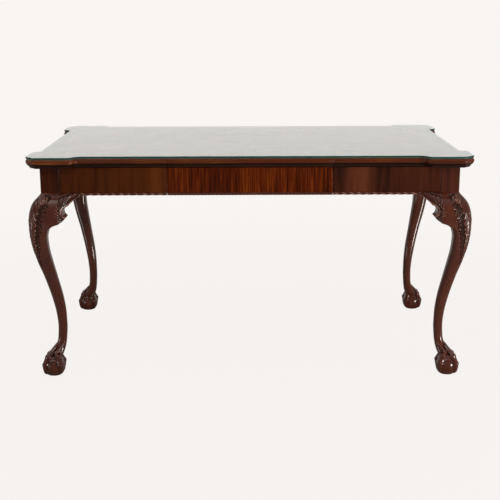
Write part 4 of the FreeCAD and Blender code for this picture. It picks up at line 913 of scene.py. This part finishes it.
# The edge in plan: how far a corner projects, the radius of the ogee's two arcs, how much the
# cant cuts off both sides together, the rounding of its ends, and how long each corner's
# projection is in x and y.
STEP, OGEE, CANT, CANT_ROUND = 28.0, 22.0, 30.0, 20.0
RUNS = (142.0, 125.0)
# The seams between the straight mouldings and the corner ones, from the middle of each side.
SEAM_X, SEAM_Y = 280.0, 268.0


def outline(seam_x, seam_y):
    """Points and outward normals of one corner of the top's edge, in the +X +Y quarter, from a
    seam on the long side round the ogee, the canted corner and the other ogee to the next seam.
    An ogee is two arcs of one radius that meet at a slant: each turns by the angle whose cosine
    is one less the step over twice the radius."""
    turn = math.acos(1 - STEP / (2 * OGEE))
    run = 2 * OGEE * math.sin(turn)
    cant = CANT + CANT_ROUND * math.tan(math.pi / 8)
    x, y = TOP_HALF
    step_x, step_y = x - RUNS[0], y - RUNS[1]
    points, facing = [], []

    def straight(start, end, normal, count):
        """Even shares of the way from start to end."""
        share = np.linspace(0, 1, count)[:, None]
        points.append(np.array(start) + share * (np.array(end) - np.array(start)))
        facing.append(np.broadcast_to(normal, (count, 2)))

    def arc(cx, cy, radius, first, last, count, hollow=False):
        """Even turns about a middle, facing away from it, or towards it on a hollow."""
        angle = np.linspace(first, last, count)
        way = np.stack([np.cos(angle), np.sin(angle)], -1)
        points.append(np.array([cx, cy]) + radius * way)
        facing.append(-way if hollow else way)

    low_x, low_y = step_x - run, step_y - run
    straight((seam_x, y - STEP), (low_x, y - STEP), (0, 1), 14)
    arc(low_x, y - STEP + OGEE, OGEE, -QUARTER_TURN, turn - QUARTER_TURN, 16, hollow=True)
    arc(step_x, y - OGEE, OGEE, QUARTER_TURN + turn, QUARTER_TURN, 16)
    straight((step_x, y), (x - cant, y), (0, 1), 8)
    arc(x - cant, y - CANT_ROUND, CANT_ROUND, QUARTER_TURN, QUARTER_TURN / 2, 10)
    arc(x - CANT_ROUND, y - cant, CANT_ROUND, QUARTER_TURN / 2, 0, 10)
    straight((x, y - cant), (x, step_y), (1, 0), 8)
    arc(x - OGEE, step_y, OGEE, 0, -turn, 16)
    arc(x - STEP + OGEE, low_y, OGEE, math.pi - turn, math.pi, 16, hollow=True)
    straight((x - STEP, low_y), (x - STEP, seam_y), (1, 0), 10)
    points, facing = np.concatenate(points), np.concatenate(facing)
    repeated = 1e-6
    fresh = np.linalg.norm(np.diff(points, axis=0), axis=1) > repeated
    fresh = np.concatenate([[True], fresh])
    return points[fresh], facing[fresh]


# The moulding's section, as insets from the edge and heights over the underside: its height,
# the bullnose's level, how far it reaches in and up, the cove under it, the quirk's inset and
# levels, and the ovolo's start, reach, height and swelling. The top and the underside run in on
# to the core.
MOULDING_HEIGHT = 31.0
NOSE_LEVEL, NOSE_IN, NOSE_UP = 21.5, 7, 9.5
COVE_IN, COVE_DOWN = 3.0, 7.0
QUIRK_IN, QUIRK_HIGH, QUIRK_LOW = 4.6, 14.0, 12.9
OVOLO_START, OVOLO_IN, OVOLO_HEIGHT, OVOLO_SWELL = 2.4, 12, 12.4, 1.6
TOP_IN, UNDER_IN = 14, 16.5


def moulding_profile():
    """The section from the top face round to the underside: a bullnose and the turn under it as
    quarters of two ellipses, a quirk, and an ovolo that falls evenly plus half a sine."""
    turn = np.linspace(0, QUARTER_TURN, 9)
    nose = np.stack([NOSE_IN - NOSE_IN * np.sin(turn), NOSE_LEVEL + NOSE_UP * np.cos(turn)], -1)
    cove = np.stack([COVE_IN - COVE_IN * np.cos(turn),
                     NOSE_LEVEL - COVE_DOWN * np.sin(turn)], -1)
    quirk = [(QUIRK_IN, QUIRK_HIGH), (QUIRK_IN, QUIRK_LOW)]
    fall = np.linspace(0, 1, 9)
    swell = OVOLO_SWELL * np.sin(np.pi * fall)
    ovolo = np.stack([OVOLO_START + OVOLO_IN * fall, OVOLO_HEIGHT * (1 - fall) + swell], -1)
    return np.concatenate([[(TOP_IN, MOULDING_HEIGHT)], nose, cove[1:], quirk, ovolo,
                           [(UNDER_IN, 0)]])


PROFILE = moulding_profile()
# How much is eased off at a seam, over what run, and the level below which shade is painted on the
# ovolo.
EASE, EASE_RUN, PAINTED_SHADE_LEVEL = 0.3, 0.5, 16


def moulding(name, points, facing, axis):
    """The profile carried along a stretch of the edge: each of its points lies at the edge less
    the inset along the edge's normal. Its inner side stands on the core, as the edge's points
    kept within the core's half sizes. A hair is eased off over a short run at both seams. The
    relief is low in the ovolo, which paints shade on that downward-facing band."""
    low = WOOD_TOP - MOULDING_HEIGHT
    start, end = points[:1], points[-1:]
    after = start + unit(points[1:2] - start) * EASE_RUN
    before = end + unit(points[-2:-1] - end) * EASE_RUN
    points = np.concatenate([start, after, points[1:-1], before, end])
    facing = np.concatenate([facing[:1], facing, facing[-1:]])
    ease = np.zeros(len(points))
    ease[[0, -1]] = EASE
    core = np.clip(points, -CORE_HALF, CORE_HALF)
    inset = PROFILE[:, 0][None, :] + ease[:, None]
    edge = points[:, None] - facing[:, None] * inset[..., None]
    tall = np.broadcast_to(low + PROFILE[:, 1], inset.shape)
    ring = np.concatenate([edge, tall[..., None]], -1)
    inner = np.stack([np.column_stack([core, np.full(len(core), low + level)])
                      for level in (0.0, MOULDING_HEIGHT / 2, MOULDING_HEIGHT)], 1)
    rings = np.concatenate([ring, inner], 1)
    # Painted shade on the downward-facing ovolo, below its level.
    relief = -ramp(low + PAINTED_SHADE_LEVEL - rings[..., 2], 0, 3)
    add_piece(f"shaped_{name}", rings, "case", [name], [MOULDED[axis]],
              {"relief": relief}, sharp=50)


corner_points, corner_facing = outline(SEAM_X, SEAM_Y)
for corner, flip in CORNERS.items():
    moulding(f"{corner}_moulding", corner_points * flip, corner_facing * flip, "x")
edge_x, edge_y = TOP_HALF - STEP
for name, start, end, normal, axis in (
        ("front_centre_moulding", (-SEAM_X, -edge_y), (SEAM_X, -edge_y), (0.0, -1.0), "x"),
        ("back_centre_moulding", (-SEAM_X, edge_y), (SEAM_X, edge_y), (0.0, 1.0), "x"),
        ("left_moulding", (-edge_x, -SEAM_Y), (-edge_x, SEAM_Y), (-1.0, 0.0), "y"),
        ("right_moulding", (edge_x, -SEAM_Y), (edge_x, SEAM_Y), (1.0, 0.0), "y")):
    share = np.linspace(0, 1, 12)[:, None]
    line = np.array(start) + share * (np.array(end) - np.array(start))
    moulding(name, line, np.broadcast_to(normal, line.shape), axis)

# The glass: how far it is set in from the edge, the radius of its ground arrises, and how far
# in the rim of each face runs before the face itself.
GLASS_SET_IN, GLASS_ROUND, GLASS_RIM = 1, 1.2, 6


def glass_sheet():
    """The sheet: the whole edge outline, set in a little, with both arrises ground to quarters
    of a circle. Each loop is the outline moved in along its normals."""
    low, high = (MM * corner.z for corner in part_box("glass_top"))
    quarter, facing = outline(0.0, 0.0)
    loop, ways = [], []
    for flip, order in (((1, 1), 1), ((1, -1), -1), ((-1, -1), 1), ((-1, 1), -1)):
        loop.append((quarter * flip)[::order][:-1])
        ways.append((facing * flip)[::order][:-1])
    loop, ways = np.concatenate(loop), np.concatenate(ways)
    turn = np.linspace(0, QUARTER_TURN, 5)
    round_in = GLASS_ROUND * (1 - np.sin(turn))
    round_up = GLASS_ROUND * (1 - np.cos(turn))
    inset = GLASS_SET_IN + np.concatenate([[GLASS_RIM], round_in, round_in[::-1], [GLASS_RIM]])
    tall = np.concatenate([[low], low + round_up, high - round_up[::-1], [high]])
    rings = np.concatenate([loop[None] - ways[None] * inset[:, None, None],
                            np.broadcast_to(tall[:, None, None], (len(tall), len(loop), 1))], -1)
    clear, edge, arris = 0, 1, 2
    slots = np.array([clear] * 2 + [arris] * 2 + [edge] * 6 + [arris] + [clear] * 2)
    add_piece("glass_sheet", rings, "case", ["glass_top"],
              [GLASS, GLASS_EDGE, GLASS_ARRIS], face_slots=slots, sharp=60)


glass_sheet()


# ---------------------------------------------------------------- finishes of the other nodes

def finish_node(name, material):
    """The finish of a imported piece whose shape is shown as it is."""
    mesh = NODES[name].data
    mesh.materials.clear()
    mesh.materials.append(material)


for drawer, veneer in FRONTS.items():
    finish_node(f"{drawer}_drawer_front", veneer)
    for part, axis in (("left_side", "y"), ("right_side", "y"), ("back", "x"), ("bottom", "x")):
        finish_node(f"{drawer}_drawer_{part}", BOX[axis])
for name in ("left_apron", "right_apron", "back_apron"):
    finish_node(name, SIDES)
for name in ("front_upper_rail", "front_lower_rail"):
    finish_node(name, RAILS)
for side in ("left", "right"):
    for part, axis in (("partition", "y"), ("inner_runner", "y"), ("outer_runner", "y"),
                       ("back_block", "x")):
        finish_node(f"{side}_{part}", INSIDE[axis])
finish_node("top_panel", TOP)
finish_node("glass_bumpers", RUBBER)
finish_node("top_screws", STEEL)


# ---------------------------------------------------------------- stage, light and camera

BACKDROP = (0.948, 0.913, 0.888, 1)
FLOOR = (0.50, 0.485, 0.47, 1)
AMBIENT = (1, 0.98, 0.96, 1)
LAMP_COLOUR = (1, 0.97, 0.93)


def floor_material():
    """Pale matt floor that reads as the backdrop's white, keeps part of the shadow round the
    desk, and passes into the backdrop further out. Nobody sees it from below."""
    material = bpy.data.materials.new("pale_floor")
    material.use_nodes = True
    tree = material.node_tree
    tree.nodes.clear()
    seen = add_node(tree, "ShaderNodeLightPath").outputs["Is Camera Ray"]
    place = add_node(tree, "ShaderNodeTexCoord").outputs["Object"]
    away = add_node(tree, "ShaderNodeVectorMath", {0: place}, operation="LENGTH").outputs["Value"]
    matt = add_node(tree, "ShaderNodeBsdfDiffuse", {"Color": FLOOR})
    white = add_node(tree, "ShaderNodeEmission", {"Color": BACKDROP})
    shadow_end, backdrop_start, white_share = 1.2, 3.2, 0.95
    share = maths(tree, "MULTIPLY", seen,
                  span(tree, away, shadow_end, backdrop_start, white_share, 1.0))
    both = add_node(tree, "ShaderNodeMixShader")
    links(tree, both, {0: share, 1: matt.outputs[0], 2: white.outputs[0]})
    under = maths(tree, "MULTIPLY", seen,
                  add_node(tree, "ShaderNodeNewGeometry").outputs["Backfacing"])
    one_sided = add_node(tree, "ShaderNodeMixShader")
    links(tree, one_sided, {0: under, 1: both.outputs[0],
                            2: add_node(tree, "ShaderNodeBsdfTransparent").outputs[0]})
    links(tree, add_node(tree, "ShaderNodeOutputMaterial"), {"Surface": one_sided.outputs[0]})
    return material


def floor():
    """A flat square on the ground, far wider than the desk."""
    half = 30
    mesh = bpy.data.meshes.new("floor")
    corners = [(-half, -half, 0), (half, -half, 0), (half, half, 0), (-half, half, 0)]
    mesh.from_pydata(corners, [], [(0, 1, 2, 3)])
    mesh.materials.append(floor_material())
    made = bpy.data.objects.new("floor", mesh)
    bpy.context.scene.collection.objects.link(made)


def studio():
    """The room round the desk. What is seen directly or through the glass is the plain white
    backdrop, and so is what gloss mirrors of its low part behind the desk. The rest is a soft
    sky, dim at the sides and brighter overhead, with one bright patch of ceiling that only
    gloss mirrors."""
    world = bpy.data.worlds.new("studio")
    bpy.context.scene.world = world
    world.use_nodes = True
    tree = world.node_tree
    tree.nodes.clear()
    dim_sky, sky_start, sky_full = 0.24, 0.5, 0.95
    patch_way, patch_rim, patch_core, patch_strength = (-0.22, -0.38, 0.90), 0.93, 0.985, 8.0
    least_mirrored = 0.25
    path = add_node(tree, "ShaderNodeLightPath").outputs
    toward = add_node(tree, "ShaderNodeTexCoord").outputs["Generated"]
    way = add_node(tree, "ShaderNodeSeparateXYZ", {0: toward}).outputs
    behind = maths(tree, "MULTIPLY", span(tree, way["Y"], -0.45, 0.1),
                   span(tree, way["Z"], 0.75, 0.35))
    mirrored = maths(tree, "MULTIPLY", path["Is Glossy Ray"],
                     span(tree, behind, 0, 1, least_mirrored, 1.0))
    shown = maths(tree, "ADD", maths(tree, "ADD", path["Is Camera Ray"], mirrored),
                  path["Is Transmission Ray"], clamp=True)
    ambient = add_node(tree, "ShaderNodeBackground", {
        "Color": AMBIENT, "Strength": span(tree, way["Z"], sky_start, sky_full, dim_sky, 1.0)})
    near_patch = add_node(tree, "ShaderNodeVectorMath", {0: toward, 1: patch_way},
                          operation="DOT_PRODUCT").outputs["Value"]
    patch = maths(tree, "MULTIPLY", path["Is Glossy Ray"],
                  span(tree, near_patch, patch_rim, patch_core, 0, patch_strength))
    backdrop = add_node(tree, "ShaderNodeBackground", {
        "Color": BACKDROP, "Strength": maths(tree, "ADD", patch, 1.0)})
    both = add_node(tree, "ShaderNodeMixShader")
    links(tree, both, {0: shown, 1: ambient.outputs[0], 2: backdrop.outputs[0]})
    links(tree, add_node(tree, "ShaderNodeOutputWorld"), {"Surface": both.outputs[0]})


def softbox(name, at, aim, size, power, mirrored=True):
    """A rectangular lamp that points at its aim. Gloss and glass show it where it is
    mirrored."""
    lamp = bpy.data.lights.new(name, "AREA")
    lamp.shape = "RECTANGLE"
    lamp.size, lamp.size_y = size
    lamp.energy = power
    lamp.color = LAMP_COLOUR
    made = bpy.data.objects.new(name, lamp)
    bpy.context.scene.collection.objects.link(made)
    made.location = at
    made.rotation_euler = (Vector(aim) - Vector(at)).to_track_quat("-Z", "Y").to_euler()
    made.visible_glossy = made.visible_transmission = mirrored


floor()
studio()
STRIP = (0.90, 0.72)
LEG_MIDDLE = (0, 0, 0.40)
softbox("key_light", (-0.6, -3.4, 3.3), (0, 0, 0.5), (0.8, 0.6), 50, mirrored=False)
softbox("right_strip", (2.7, -2.3, 0.40), LEG_MIDDLE, STRIP, 85)
softbox("left_strip", (-2.9, -1.9, 0.40), LEG_MIDDLE, STRIP, 17)
softbox("back_fill", (0, 3.6, 2.2), LEG_MIDDLE, (3.2, 1.6), 45, mirrored=False)

# The camera: where it stands, in metres, and in radians how far it looks down, turns and tilts.
CAMERA_AT = (-0.00402, -3.64278, 1.27063)
LOOK_DOWN, LOOK_ASIDE, TILT = 0.24733, -0.00102, -0.00303
lens = bpy.data.cameras.new("camera")
lens.sensor_width = 36
lens.lens = 70.615
camera = bpy.data.objects.new("camera", lens)
bpy.context.scene.collection.objects.link(camera)
camera.location = CAMERA_AT
level_view = Euler((QUARTER_TURN - LOOK_DOWN, 0, LOOK_ASIDE)).to_matrix()
camera.rotation_euler = (level_view @ Matrix.Rotation(TILT, 3, "Z")).to_euler()
bpy.context.scene.camera = camera
bpy.context.scene.view_settings.view_transform = "Standard"
